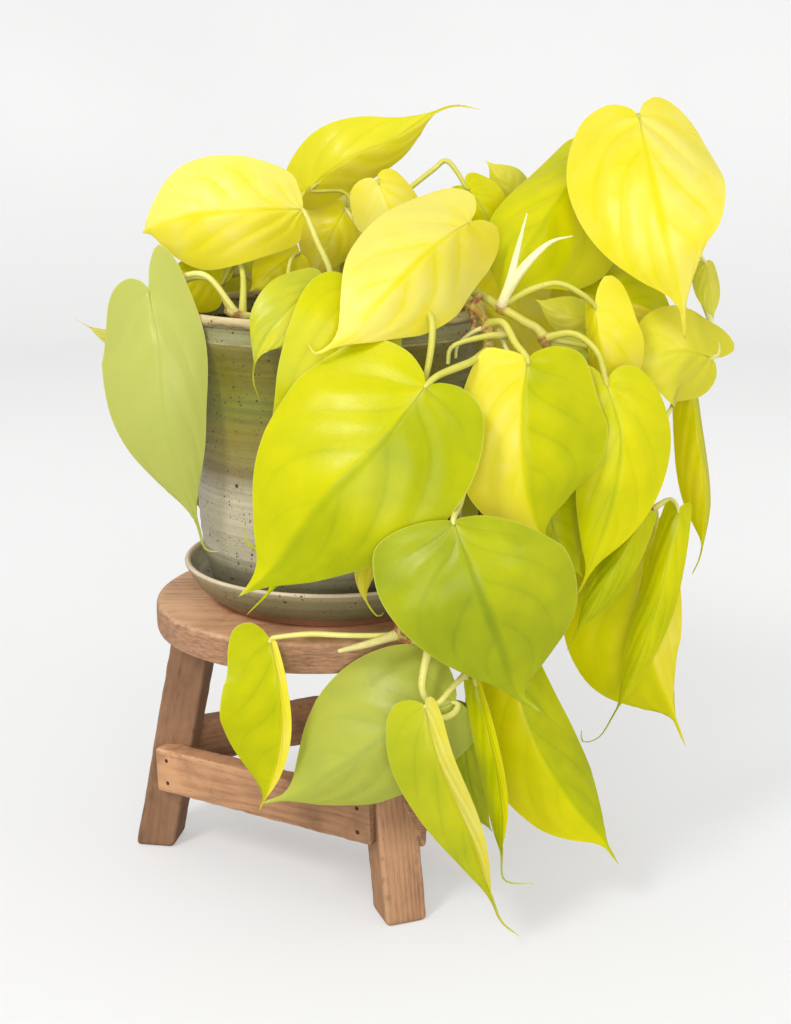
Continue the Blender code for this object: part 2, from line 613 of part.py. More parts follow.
def build_stretcher(name, index, cutters, coat, parent):
    """Board from the lapped leg, number index + 1, to the leg it ends against, number index."""
    reach = leg_radius(STRETCHER_Z)
    ends = []
    for leg in ((index + 1) % 3, index):
        outward, _ = leg_frame(leg)
        ends.append(np.array(outward) * reach)
    along = (ends[1] - ends[0]) / np.linalg.norm(ends[1] - ends[0])
    outside = np.array([along[1], -along[0]])
    start = ends[0] - along * STRETCHER_LAP[index] + outside * STRETCHER_OUT
    end = ends[1] - along * STRETCHER_SHORT + outside * STRETCHER_OUT
    length = np.linalg.norm(end - start)
    mesh = bmesh.new()
    bmesh.ops.create_cube(mesh, size=1)
    bmesh.ops.scale(mesh, vec=(length * MM, STRETCHER_THICK * MM, STRETCHER_TALL * MM), verts=mesh.verts)
    data = bpy.data.meshes.new(name)
    mesh.to_mesh(data)
    mesh.free()
    board = add_object(name, data, coat, parent)
    middle = (start + end) / 2
    board.location = (middle[0] * MM, middle[1] * MM, STRETCHER_Z * MM)
    board.rotation_euler = (0, -math.atan2(STRETCHER_RISE, length), math.atan2(along[1], along[0]))
    for leg in ((index + 1) % 3, index):
        cut(board, cutters[leg])


def build_saucer(parent):
    """Shallow flared saucer with a rounded rim and a level foot."""
    glaze = material("saucer_glaze", (0.30, 0.29, 0.24), 0.35)
    rim = SAUCER_WALL / 2
    profile = [(0, SAUCER_INSIDE[0][1])] + list(SAUCER_INSIDE)
    profile += arc(SAUCER_RIM_R - rim, SAUCER_RIM_Z - rim, rim, 180, 0, 3)
    profile += list(SAUCER_OUTSIDE) + [(SAUCER_FOOT_R, GAP), (0, GAP)]
    turned("saucer", profile, glaze, parent, x=POT_X, z=TOP_Z)


def build_pot(parent):
    """Hollow pot: inside wall up, round lip, cove, ridge, then the outer wall down to the foot."""
    glaze = material("pot_glaze", (0.36, 0.33, 0.25), 0.4)
    lip = POT_LIP_TALL / 2
    lip_z = POT_RIM_Z - lip
    profile = [(0, POT_FLOOR[1]), POT_FLOOR] + list(POT_INSIDE) + list(POT_LIP_INSIDE)
    profile += arc(POT_RIM_R - lip, lip_z, lip, 60, -60, 4)
    profile += [(POT_COVE_R, POT_COVE_Z[1]), (POT_COVE_R, POT_COVE_Z[0])]
    profile += [(POT_RIDGE_R, POT_RIDGE_Z)] + list(POT_BODY) + [(0, POT_Z)]
    turned("pot", profile, glaze, parent, x=POT_X, z=TOP_Z)


def inside_radius(z):
    """Radius of the pot's inside wall at a height above the stool top."""
    heights = [point[1] for point in POT_INSIDE]
    radii = [point[0] for point in POT_INSIDE]
    return float(np.interp(z, heights, radii))


def build_soil(parent):
    """Soil just inside the pot's wall, with a plain round hole under each stem."""
    dirt = material("potting_soil", (0.025, 0.014, 0.009), 0.95)
    floor_z = POT_FLOOR[1] + GAP
    profile = [(0, SOIL_TOP_Z), SOIL_MOUND, (inside_radius(SOIL_EDGE_Z) - GAP, SOIL_EDGE_Z)]
    profile += [(r - GAP, z) for r, z in POT_INSIDE[2:0:-1]]
    profile += [(POT_INSIDE[0][0] - GAP, POT_INSIDE[0][1] + GAP), (POT_FLOOR[0], floor_z), (0, floor_z)]
    soil = turned("soil", profile, dirt, parent, x=POT_X, z=TOP_Z)
    holes = bmesh.new()
    bottom = STEM_FOOT_Z - GAP
    depth = TOP_Z + POT_RIM_Z - bottom
    for x, y in stem_feet():
        ring = bmesh.ops.create_cone(
            holes, cap_ends=True, segments=SOIL_HOLE_SIDES, radius1=SOIL_HOLE_R * MM,
            radius2=SOIL_HOLE_R * MM, depth=depth * MM)
        bmesh.ops.translate(holes, verts=ring["verts"], vec=(x * MM, y * MM, (bottom + depth / 2) * MM))
    data = bpy.data.meshes.new("cutter_stem_holes")
    holes.to_mesh(data)
    holes.free()
    cut(soil, add_object("cutter_stem_holes", data, None, parent))


def stem_feet():
    """Where the stems stand in the soil: x and y of each stem that starts at the foot height."""
    return [stem.points[0][:2] for stem in STEMS if stem.points[0][2] == STEM_FOOT_Z]


def spline(points, places):
    """Smooth curve through points, read at places from 0 to 1, by the Catmull-Rom rule."""
    p = np.asarray(points, float)
    last = len(p) - 1
    p = np.vstack([2 * p[0] - p[1], p, 2 * p[-1] - p[-2]])
    x = np.clip(places, 0, 1) * last
    i = np.minimum(x.astype(int), last - 1)
    t = (x - i)[:, None]
    a, b, c, d = p[i], p[i + 1], p[i + 2], p[i + 3]
    curve = 2 * b + (c - a) * t + (2 * a - 5 * b + 4 * c - d) * t ** 2
    return 0.5 * (curve + (3 * b - a - 3 * c + d) * t ** 3)


def unit(vectors):
    """Vectors scaled to length 1."""
    return vectors / np.linalg.norm(vectors, axis=-1, keepdims=True)


def direction(azimuth, rise):
    """Unit vector: azimuth from the front towards +X, rise from level, in degrees."""
    a, e = math.radians(azimuth), math.radians(rise)
    return np.array([math.sin(a) * math.cos(e), -math.cos(a) * math.cos(e), math.sin(e)])


def even_curve(points):
    """Curve through points at even steps of its length: places, tangents and the length."""
    q = spline(points, np.linspace(0, 1, CURVE_READS))
    s = np.concatenate([[0], np.cumsum(np.linalg.norm(np.diff(q, axis=0), axis=1))])
    even = np.linspace(0, s[-1], RIB_READS)
    q = np.stack([np.interp(even, s, q[:, axis]) for axis in range(3)], -1)
    return q, unit(np.gradient(q, axis=0)), s[-1]


def both(value):
    """A value for each half of a leaf."""
    return value if isinstance(value, tuple) else (value, value)


def along_rib(values, v):
    """Values listed evenly along the midrib, read at lengths v from its base, held at both ends."""
    place = np.clip(v, 0, 1) * (len(values) - 1)
    return np.stack([np.interp(place, np.arange(len(values)), values[:, axis]) for axis in range(3)], -1)


def half_columns(leaf, side, rows, length, rib):
    """Lines of points across one half of a blade, from beside the midrib to its margin.

    The half is a strip that leaves the midrib at the half's angle and turns back evenly by its arch,
    so it lies on a round arc across its width.
    """
    pick = 0 if side < 0 else 1
    width, angle = (leaf.left, leaf.right)[pick]
    lobe, belly, arch = both(leaf.lobe)[pick], both(leaf.belly)[pick], both(leaf.arch)[pick]
    places, tangents = rib
    margin = np.array(MARGIN)
    back = margin[:, 1] < 0
    margin[back, 1] *= lobe
    margin[~back, 1] = margin[~back, 1] ** (math.log(belly) / math.log(MARGIN_BELLY))
    along = np.linspace(0, 1, rows + 1)
    edge = spline(margin, along)
    edge[0] = 0
    edge[-1] = (0, 1)
    start = math.radians(angle)
    bend = math.radians(arch) / width
    face = direction(*leaf.face)
    grid = []
    for column in range(1, BLADE_COLS + 1):
        k = column / BLADE_COLS
        out = k * edge[:, 0] * width
        v = (1 - k ** COLUMN_SWEEP) * along + k ** COLUMN_SWEEP * edge[:, 1]
        shear = math.tan(math.radians(leaf.slant)) * side * out / length
        v = v + shear * np.clip((1 - v) * SLANT_FADE, 0, 1)
        spot = along_rib(places, v)
        run = unit(along_rib(tangents, v))
        spot = spot + run * (np.minimum(v, 0) * length)[:, None]
        normal = unit(face - run * (run @ face)[:, None])
        across = np.cross(normal, run)
        sideways = (math.sin(start) - np.sin(start - bend * out)) / bend
        lift = (np.cos(start - bend * out) - math.cos(start)) / bend
        grid.append(spot + across * (side * sideways)[:, None] + normal * lift[:, None])
    return grid


def blade_rows(length):
    """Rows of faces along a blade of this length."""
    return next(rows for longest, rows in BLADE_ROWS if length < longest)


def blade_grid(leaf):
    """Middle surface of a blade: rows from its base to its tip, columns from left to right."""
    places, tangents, length = even_curve(leaf.rib)
    rows = blade_rows(length)
    left = half_columns(leaf, -1, rows, length, (places, tangents))
    right = half_columns(leaf, 1, rows, length, (places, tangents))
    middle = along_rib(places, np.linspace(0, 1, rows + 1))
    grid = np.stack(left[::-1] + [middle] + right, 1)
    grid[0] = grid[0, BLADE_COLS]
    grid[-1] = grid[-1, BLADE_COLS]
    return grid


def blade_solid(leaf):
    """Closed blade: the middle surface moved half the thickness each way, both sides split alike."""
    grid = blade_grid(leaf)
    rows, columns = grid.shape[:2]
    points = grid.reshape(-1, 3)
    index = np.arange(rows * columns).reshape(rows, columns)
    index[0] = index[0, BLADE_COLS]
    index[-1] = index[-1, BLADE_COLS]
    triangles = []
    for row in range(rows - 1):
        for column in range(columns - 1):
            a, b = index[row, column], index[row, column + 1]
            d, c = index[row + 1, column], index[row + 1, column + 1]
            halves = ((a, b, d), (b, c, d)) if column < BLADE_COLS else ((a, b, c), (a, c, d))
            triangles += [half for half in halves if len(set(half)) == 3]
    corners = np.array(triangles)
    first, second, third = (points[corners[:, k]] for k in range(3))
    spread = np.cross(second - first, third - first)
    normals = np.zeros_like(points)
    for corner in range(3):
        np.add.at(normals, corners[:, corner], spread)
    used = np.unique(corners)
    normals[used] = unit(normals[used])
    return thickened(points, normals * BLADE_THICK / 2, triangles, used)


def thickened(points, offset, triangles, used):
    """Vertices and faces of a sheet given thickness: its two sides and the rim between them."""
    place = {int(old): new for new, old in enumerate(used)}
    count = len(used)
    vertices = np.vstack([points[used] + offset[used], points[used] - offset[used]])
    faces = []
    rim = set()
    for triangle in triangles:
        a, b, c = (place[int(corner)] for corner in triangle)
        faces.append((a, b, c))
        faces.append((a + count, c + count, b + count))
        for edge in ((a, b), (b, c), (c, a)):
            if (edge[1], edge[0]) in rim:
                rim.remove((edge[1], edge[0]))
            else:
                rim.add(edge)
    for a, b in sorted(rim):
        faces.append((b, a, a + count))
        faces.append((b, a + count, b + count))
    return vertices, faces


def stem_solid(stem):
    """Closed round tube through a stem's points, with flat ends."""
    places = np.linspace(0, 1, stem.steps + 1)
    middle = spline(stem.points, places)
    radius = np.interp(places, (0, 1), stem.thick)
    run = unit(np.gradient(middle, axis=0))
    side = np.array([1.0, 0, 0]) if abs(run[0, 2]) > 0.9 else np.array([0, 0, 1.0])
    vertices = []
    for spot, ahead, thick in zip(middle, run, radius):
        side = unit(side - ahead * (ahead @ side))
        other = np.cross(ahead, side)
        for k in range(stem.sides):
            turn = 2 * math.pi * k / stem.sides
            vertices.append(spot + thick * (math.cos(turn) * side + math.sin(turn) * other))
    faces = []
    n = stem.sides
    for step in range(stem.steps):
        for k in range(n):
            a, b = step * n + k, step * n + (k + 1) % n
            faces.append((a, b, b + n))
            faces.append((a, b + n, a + n))
    last = stem.steps * n
    for k in range(1, n - 1):
        faces.append((0, k + 1, k))
        faces.append((last, last + k, last + k + 1))
    return np.array(vertices), faces


def hung_leaf(spec):
    """Leaf and stalk of the far side, from its place about the pot."""
    outward = direction(spec.azimuth, 0)
    sideways = direction(spec.azimuth + 90, 0)
    base = np.array([POT_X, 0, spec.z]) + outward * spec.radius
    rib = []
    for out, along in zip(HANGING_OUT, HANGING_ALONG):
        drift = outward * out + sideways * (spec.sway / 100 * min(1, round(along, 1)))
        rib.append(tuple(base + (drift - np.array([0, 0, along])) * spec.length))
    half = (spec.length * HANGING_HALF, HANGING_ANGLE)
    leaf = Leaf(
        "far side leaf", spec.vine, tuple(rib), half, half, lobe=0.1, arch=20, face=(spec.azimuth, 14))
    crest = (np.array(spec.node) + base) / 2 + outward * STALK_OUT + np.array([0, 0, STALK_RISE])
    stalk = Stem(spec.vine, (spec.node, tuple(crest), tuple(base)), thick=(1.5, 1.1), steps=5)
    return leaf, stalk


def build_vine(name, leaves, stems, coat, parent):
    """One leafy stem: its main stem joined with its stalks and blades in a single solid."""
    solids = [stem_solid(stem) for stem in stems] + [blade_solid(leaf) for leaf in leaves]
    trunk = add_object("vine_" + name, mesh_of("trunk_" + name, *solids[0]), None, None)
    repeats = bpy.data.collections.new("repeats_" + name)
    for number, solid in enumerate(solids[1:]):
        part_name = f"{name}_{number}"
        repeats.objects.link(bpy.data.objects.new(part_name, mesh_of(part_name, *solid)))
    join = trunk.modifiers.new("join", "BOOLEAN")
    join.operation = "UNION"
    join.operand_type = "COLLECTION"
    join.collection = repeats
    join.solver = "MANIFOLD" if name in CLOSED_MESH_VINES else "EXACT"
    bpy.context.view_layer.update()
    joined = bpy.data.meshes.new_from_object(trunk.evaluated_get(bpy.context.evaluated_depsgraph_get()))
    trunk.modifiers.remove(join)
    trunk.data = joined
    joined.name = "vine_" + name
    joined.materials.clear()
    joined.materials.append(coat)
    shade_round(joined)
    trunk.parent = parent
    for helper in list(repeats.objects):
        bpy.data.objects.remove(helper)
    bpy.data.collections.remove(repeats)


def build_foliage(parent):
    """Every vine, with the far side's leaves hung by rule."""
    leaves = list(LEAVES)
    stems = list(STEMS)
    for spec in HANGING:
        leaf, stalk = hung_leaf(spec)
        leaves.append(leaf)
        stems.append(stalk)
    for number, name in enumerate(VINES):
        green = material("leaf_" + name, (0.62 - 0.03 * number, 0.62, 0.03), 0.45)
        own_leaves = [leaf for leaf in leaves if leaf.vine == name]
        own_stems = [stem for stem in stems if stem.vine == name]
        build_vine(name, own_leaves, own_stems, green, parent)


def clear_scene():
    """Remove whatever the scene holds."""
    for piece in list(bpy.data.objects):
        bpy.data.objects.remove(piece)


def main():
    """Model the whole part on one empty."""
    clear_scene()
    stand_axis = add_object("stand_axis", None)
    stand_axis.location = (STOOL_AXIS_X * MM, STOOL_AXIS_Y * MM, 0)
    build_stool(stand_axis)
    build_saucer(stand_axis)
    build_pot(stand_axis)
    build_soil(stand_axis)
    build_foliage(stand_axis)


main()
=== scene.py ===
"""Look of a trailing heartleaf plant in a stoneware pot and saucer on a three-legged wooden stool.

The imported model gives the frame. Tables are in millimetres about the stool's own axis, with the floor
at z = 0 and the front of the plant towards -Y. Every mesh is a skin: rings of points worked out with
numpy as whole arrays, closed by a pole at each end, then moved to the part's frame in metres. The
backdrop alone is open.
"""
import logging
import math
from collections.abc import Sequence
from dataclasses import dataclass, field
from enum import Enum
from functools import cache

import bpy
import numpy as np
from bpy.types import Material, Mesh, Node, NodeSocket, NodeTree
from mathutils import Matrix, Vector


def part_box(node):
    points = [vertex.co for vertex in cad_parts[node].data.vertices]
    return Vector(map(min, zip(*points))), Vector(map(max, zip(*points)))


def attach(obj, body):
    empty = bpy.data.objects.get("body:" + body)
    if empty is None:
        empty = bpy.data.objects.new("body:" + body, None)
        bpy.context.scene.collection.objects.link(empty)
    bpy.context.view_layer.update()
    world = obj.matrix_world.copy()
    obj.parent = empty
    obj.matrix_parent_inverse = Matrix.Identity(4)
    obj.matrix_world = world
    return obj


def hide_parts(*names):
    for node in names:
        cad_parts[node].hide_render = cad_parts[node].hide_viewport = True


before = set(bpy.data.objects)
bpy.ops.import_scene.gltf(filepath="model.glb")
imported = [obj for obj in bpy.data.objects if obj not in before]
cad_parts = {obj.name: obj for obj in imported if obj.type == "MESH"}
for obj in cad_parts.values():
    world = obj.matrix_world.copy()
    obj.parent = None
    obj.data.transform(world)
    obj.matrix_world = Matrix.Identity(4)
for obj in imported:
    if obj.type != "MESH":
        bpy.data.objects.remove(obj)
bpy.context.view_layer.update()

Array = np.ndarray
Point = tuple[float, float, float]
Colour = tuple[float, float, float, float]
Pair = tuple[float, float]
Profile = tuple[Pair, ...]
Halves = float | Pair

log = logging.getLogger("plant")
MM = 0.001
SHARP_EDGE = 50


class Slot(Enum):
    """Material slots of the record."""

    STOOL_TOP = "stool_top_wood"
    STOOL_LEG = "stool_leg_wood"
    SAUCER = "saucer_glaze"
    POT = "pot_glaze"
    SOIL = "potting_soil"
    FOLIAGE_BRIGHT = "foliage_bright"
    FOLIAGE_GREEN = "foliage_green"


# Curves and fields


def unit(vectors: Array) -> Array:
    """Vectors scaled to length 1."""
    return vectors / np.maximum(np.linalg.norm(vectors, axis=-1, keepdims=True), 1e-12)


def held(value: Array) -> Array:
    """Numbers held between 0 and 1."""
    return np.clip(value, 0, 1)


def bell(away: Array, wide: float) -> Array:
    """Bell curve: e to the power of less the square of away over wide."""
    return np.exp(-(away / wide) ** 2)


def full_turn(steps: int) -> Array:
    """Angles of even steps round a circle."""
    return np.linspace(0, 2 * math.pi, steps, endpoint=False)


def about_z(points: Array, turn: Array | float) -> tuple[Array, Array]:
    """X and Y of points turned about Z."""
    x, y = points[..., 0], points[..., 1]
    return x * np.cos(turn) - y * np.sin(turn), x * np.sin(turn) + y * np.cos(turn)


def read_at(places: Array, known: Array, values: Array) -> Array:
    """Columns of values, which are known at some places, read at others in straight lines."""
    return np.stack([np.interp(places, known, column) for column in values.T], -1)


def direction(azimuth: float, rise: float) -> Array:
    """Unit vector with its azimuth from the front towards +X and its rise from level, in degrees."""
    a, e = math.radians(azimuth), math.radians(rise)
    return np.array([math.sin(a) * math.cos(e), -math.cos(a) * math.cos(e), math.sin(e)])


def spline(points: Array | Sequence[Point], places: Array) -> Array:
    """Smooth curve through points.

    Between points b and c, with neighbours a and d, the curve is the Catmull-Rom cubic: half of
    2b + (c - a)t + (2a - 5b + 4c - d)t squared + (3b - a - 3c + d)t cubed.

    Args:
        points: Points that the curve goes through, n by axes.
        places: Where to read it, from 0 at the first point to 1 at the last.

    Returns:
        One point for each place.
    """
    p = np.asarray(points, float)
    last = len(p) - 1
    p = np.vstack([2 * p[0] - p[1], p, 2 * p[-1] - p[-2]])
    x = held(places) * last
    i = np.minimum(x.astype(int), last - 1)
    t = (x - i)[:, None]
    a, b, c, d = p[i], p[i + 1], p[i + 2], p[i + 3]
    curve = 2 * b + (c - a) * t + (2 * a - 5 * b + 4 * c - d) * t ** 2
    return 0.5 * (curve + (3 * b - a - 3 * c + d) * t ** 3)


def even_curve(points: Sequence[Point], reads: int = 201) -> tuple[Array, Array, float]:
    """Curve through points, read at even steps of its length.

    Args:
        points: Points that the curve goes through.
        reads: How many points to give back.

    Returns:
        The points, their unit tangents and the length of the curve.
    """
    q = spline(points, np.linspace(0, 1, 2 * reads))
    s = np.concatenate([[0], np.cumsum(np.linalg.norm(np.diff(q, axis=0), axis=1))])
    q = read_at(np.linspace(0, s[-1], reads), s, q)
    return q, unit(np.gradient(q, axis=0)), float(s[-1])


def along_curve(values: Array, v: Array) -> Array:
    """Values listed evenly along a curve, read at lengths v from 0 to 1 and held at both ends."""
    return read_at(held(v) * (len(values) - 1), np.arange(len(values)), values)


def ripple(points: Array, wave: float, seed: int, waves: int = 14) -> Array:
    """Smooth uneven field in space.

    The field is a sum of sine waves whose directions, lengths (0.6 to 1.6 of the usual one) and
    phases come from a seeded draw, divided so that it mostly stays between -1 and 1.

    Args:
        points: Where to read it, any shape by 3, in millimetres.
        wave: Usual wavelength in millimetres.
        seed: Seed of the draw.
        waves: How many waves to add.

    Returns:
        One value for each point.
    """
    draw = np.random.default_rng(seed)
    ways = unit(draw.normal(size=(waves, 3)))
    lengths = wave * draw.uniform(0.6, 1.6, waves)
    phases = draw.uniform(0, 2 * math.pi, waves)
    waved = np.sin(points @ (ways * (2 * math.pi / lengths)[:, None]).T + phases)
    return waved.sum(-1) / math.sqrt(2 * waves)


def both(value: Halves) -> Pair:
    """A value for each half of a leaf."""
    return value if isinstance(value, tuple) else (value, value)


# Skins


@dataclass
class Skin:
    """Closed surfaces: points in millimetres, faces, a map place and named values for each point."""

    points: Array
    quads: Array
    triangles: Array
    uv: Array
    values: dict[str, Array] = field(default_factory=dict)

    def turned_outwards(self) -> "Skin":
        """The same skin with its faces pointing outwards, judged by the sign of its volume.

        Returns:
            This skin.
        """
        corners = np.vstack([self.triangles, self.quads[:, [0, 1, 2]], self.quads[:, [0, 2, 3]]])
        a, b, c = (self.points[corners[:, k]] for k in range(3))
        if np.einsum("ij,ij->i", a, np.cross(b, c)).sum() < 0:
            self.quads = self.quads[:, ::-1]
            self.triangles = self.triangles[:, ::-1]
        return self


def ring_quads(count: int, sides: int) -> Array:
    """Faces between neighbouring rings of points, as four point numbers each.

    Args:
        count: How many rings there are.
        sides: Points in each ring.

    Returns:
        The faces, n by 4.
    """
    index = np.arange(count * sides).reshape(count, sides)
    beside = np.roll(index, -1, axis=1)
    return np.stack([index[:-1], beside[:-1], beside[1:], index[1:]], -1).reshape(-1, 4)


def closed_skin(
    rings: Array, before: Array, after: Array, uv: Array | None = None, **values: Array | float,
) -> Skin:
    """Join rings of points into a skin with a pole at each end.

    Args:
        rings: Points, rings by sides by 3, in order from one end to the other.
        before: Pole before the first ring.
        after: Pole after the last ring.
        uv: Map place of each ring point, rings by sides by 2.
        **values: A number for the whole skin, or one for each ring point.

    Returns:
        The skin, with its faces pointing outwards.
    """
    count, sides = rings.shape[:2]
    here = np.arange(sides)
    beside, tail = np.roll(here, -1), (count - 1) * sides
    first, last = np.full(sides, count * sides), np.full(sides, count * sides + 1)
    triangles = np.vstack([
        np.stack([first, beside, here], -1), np.stack([last, tail + here, tail + beside], -1)])
    if uv is None:
        uv = np.zeros((count, sides, 2))
    flat_uv = np.vstack([uv.reshape(-1, 2), uv[0].mean(0), uv[-1].mean(0)])
    spread = {}
    for name, value in values.items():
        axes = np.shape(value)[2:]
        whole = np.broadcast_to(value, (count, sides) + axes)
        ends = [whole[0].mean(0)[None], whole[-1].mean(0)[None]]
        spread[name] = np.concatenate([whole.reshape(-1, *axes), *ends])
    points = np.vstack([rings.reshape(-1, 3), before, after])
    return Skin(points, ring_quads(count, sides), triangles, flat_uv, spread).turned_outwards()


def joined(skins: Sequence[Skin]) -> Skin:
    """Several skins as one, with the same named values.

    Args:
        skins: The skins.

    Returns:
        One skin with all their points and faces.
    """
    shifts = np.cumsum([0] + [len(skin.points) for skin in skins[:-1]])
    return Skin(
        np.vstack([skin.points for skin in skins]),
        np.vstack([skin.quads + shift for skin, shift in zip(skins, shifts)]),
        np.vstack([skin.triangles + shift for skin, shift in zip(skins, shifts)]),
        np.vstack([skin.uv for skin in skins]),
        {name: np.concatenate([skin.values[name] for skin in skins]) for name in skins[0].values},
    )


def ball_rings(rings: int, sides: int) -> Array:
    """Rings of a unit ball between its poles, which are at z = 1 and z = -1.

    Args:
        rings: How many rings to make.
        sides: Points in each ring.

    Returns:
        The rings, rings by sides by 3.
    """
    down = np.linspace(0, math.pi, rings + 2)[1:-1, None]
    turn = full_turn(sides)[None, :]
    z = np.broadcast_to(np.cos(down), (rings, sides))
    return np.stack([np.sin(down) * np.cos(turn), np.sin(down) * np.sin(turn), z], -1)


def lumps(centres: Array, sizes: Array, seed: int, **values: Array) -> Skin:
    """Many small uneven lumps in one skin.

    Each lump is a ball of three rings of six points. Its three axes are scaled by 0.6 to 1.3, it is
    turned by a random amount about Z, and each point moves in or out by up to a quarter.

    Args:
        centres: Middles of the lumps, n by 3.
        sizes: Radii of the lumps.
        seed: Seed of the draw.
        **values: One number for each lump.

    Returns:
        The skin of all the lumps.
    """
    draw = np.random.default_rng(seed)
    ball = ball_rings(3, 6)
    shape = np.vstack([ball.reshape(-1, 3), [0, 0, 1], [0, 0, -1]])
    pattern = closed_skin(ball, shape[-2], shape[-1])
    count, size = len(centres), len(shape)
    axes = draw.uniform(0.6, 1.3, (count, 1, 3)) * sizes[:, None, None]
    bodies = shape[None] * axes * draw.uniform(0.75, 1.25, (count, size, 1))
    x, y = about_z(bodies, draw.uniform(0, 2 * math.pi, (count, 1)))
    points = np.stack([x, y, bodies[..., 2]], -1) + centres[:, None, :]
    shift = (np.arange(count) * size)[:, None, None]
    return Skin(
        points.reshape(-1, 3),
        (pattern.quads[None] + shift).reshape(-1, 4),
        (pattern.triangles[None] + shift).reshape(-1, 3),
        np.zeros((count * size, 2)),
        {name: np.repeat(value, size) for name, value in values.items()},
    )


def turned_rings(profile: Sequence[Pair], steps: int) -> Array:
    """Rings of a profile, listed as radius and height, turned about the Z axis.

    Args:
        profile: Radii and heights.
        steps: Points in each ring.

    Returns:
        The rings, n by steps by 3.
    """
    line = np.asarray(profile, float)
    turn = full_turn(steps)[None, :]
    z = np.broadcast_to(line[:, 1:], (len(line), steps))
    return np.stack([line[:, :1] * np.cos(turn), line[:, :1] * np.sin(turn), z], -1)


def finely(profile: Sequence[Pair], gap: float) -> Array:
    """A profile with points added along its straight stretches, at most gap apart.

    Args:
        profile: Radii and heights.
        gap: Greatest distance between two points.

    Returns:
        The finer profile, n by 2.
    """
    line = np.asarray(profile, float)
    spans = np.linalg.norm(np.diff(line, axis=0), axis=1)
    counts = np.maximum(np.ceil(spans / gap).astype(int), 1)
    places = np.concatenate([k + np.arange(n) / n for k, n in enumerate(counts)] + [[len(spans)]])
    return read_at(places, np.arange(len(line)), line)


def arc(r: float, z: float, radius: float, start: float, end: float, steps: int) -> list[Pair]:
    """Points of a round corner about (r, z), between two angles in degrees from outwards."""
    turns = np.radians(np.linspace(start, end, steps + 1))
    return list(zip(r + radius * np.cos(turns), z + radius * np.sin(turns)))


def tube_rings(middle: Array, radius: Array, sides: int) -> Array:
    """Round rings along a path.

    The reference direction is the one that the path turns towards least, which is the last singular
    vector of its tangents. Each ring lies in the plane across the path at its point.

    Args:
        middle: Points of the path, n by 3.
        radius: Radius at each point.
        sides: Points in each ring.

    Returns:
        The rings, n by sides by 3.
    """
    run = unit(np.gradient(middle, axis=0))
    least = np.linalg.svd(run)[2][-1]
    side = unit(least - run * (run @ least)[:, None])
    other = np.cross(run, side)
    turn = full_turn(sides)[None, :, None]
    ring = np.cos(turn) * side[:, None, :] + np.sin(turn) * other[:, None, :]
    return middle[:, None, :] + radius[:, None, None] * ring


def bar_section(wide: float, tall: float, corner: float, steps: int) -> tuple[Array, Array]:
    """Section of a bar with rounded corners.

    Args:
        wide: Full width.
        tall: Full height.
        corner: Radius of the corners.
        steps: Points along each flat side and round each corner.

    Returns:
        Points of the section, n by 2, and how near each is to a corner, from 0 to 1.
    """
    half = np.array([wide, tall]) / 2 - corner
    points = []
    for quarter, (sx, sy) in enumerate(((1, 1), (-1, 1), (-1, -1), (1, -1))):
        turn = np.radians(np.linspace(0, 90, steps) + 90 * quarter)
        middle = np.array([sx, sy]) * half
        points.append(middle + corner * np.stack([np.cos(turn), np.sin(turn)], -1))
    loop = []
    for quarter in range(4):
        here, after = points[quarter], points[(quarter + 1) % 4]
        between = np.linspace(0, 1, steps + 2)[1:-1, None]
        loop += [here, here[-1] + (after[0] - here[-1]) * between]
    section = np.vstack(loop)
    away = np.abs(np.abs(section) - np.array([wide, tall]) / 2)
    edge = held(1 - away.max(-1) / (3 * corner))
    return section, edge


# Pieces of the scene


def mesh_of(name: str, skin: Skin) -> Mesh:
    """Mesh from a skin, with its map and its named values as point attributes.

    Args:
        name: Name of the mesh.
        skin: Points in the part's frame, in metres.

    Returns:
        The mesh, smooth apart from edges that turn by more than SHARP_EDGE degrees.
    """
    mesh = bpy.data.meshes.new(name)
    mesh.vertices.add(len(skin.points))
    mesh.vertices.foreach_set("co", skin.points.astype(np.float32).ravel())
    corners = np.concatenate([skin.quads.ravel(), skin.triangles.ravel()]).astype(np.int32)
    sizes = np.concatenate([np.full(len(skin.quads), 4), np.full(len(skin.triangles), 3)])
    mesh.loops.add(len(corners))
    mesh.loops.foreach_set("vertex_index", corners)
    mesh.polygons.add(len(sizes))
    mesh.polygons.foreach_set("loop_start", (np.cumsum(sizes) - sizes).astype(np.int32))
    mesh.update(calc_edges=True)
    mesh.validate()
    mesh.uv_layers.new(name="map").data.foreach_set("uv", skin.uv[corners].astype(np.float32).ravel())
    for key, value in skin.values.items():
        kind = "FLOAT_VECTOR" if value.ndim == 2 else "FLOAT"
        layer = mesh.attributes.new(key, kind, "POINT")
        layer.data.foreach_set("vector" if value.ndim == 2 else "value", value.astype(np.float32).ravel())
    mesh.shade_smooth()
    mesh.set_sharp_from_angle(angle=math.radians(SHARP_EDGE))
    return mesh


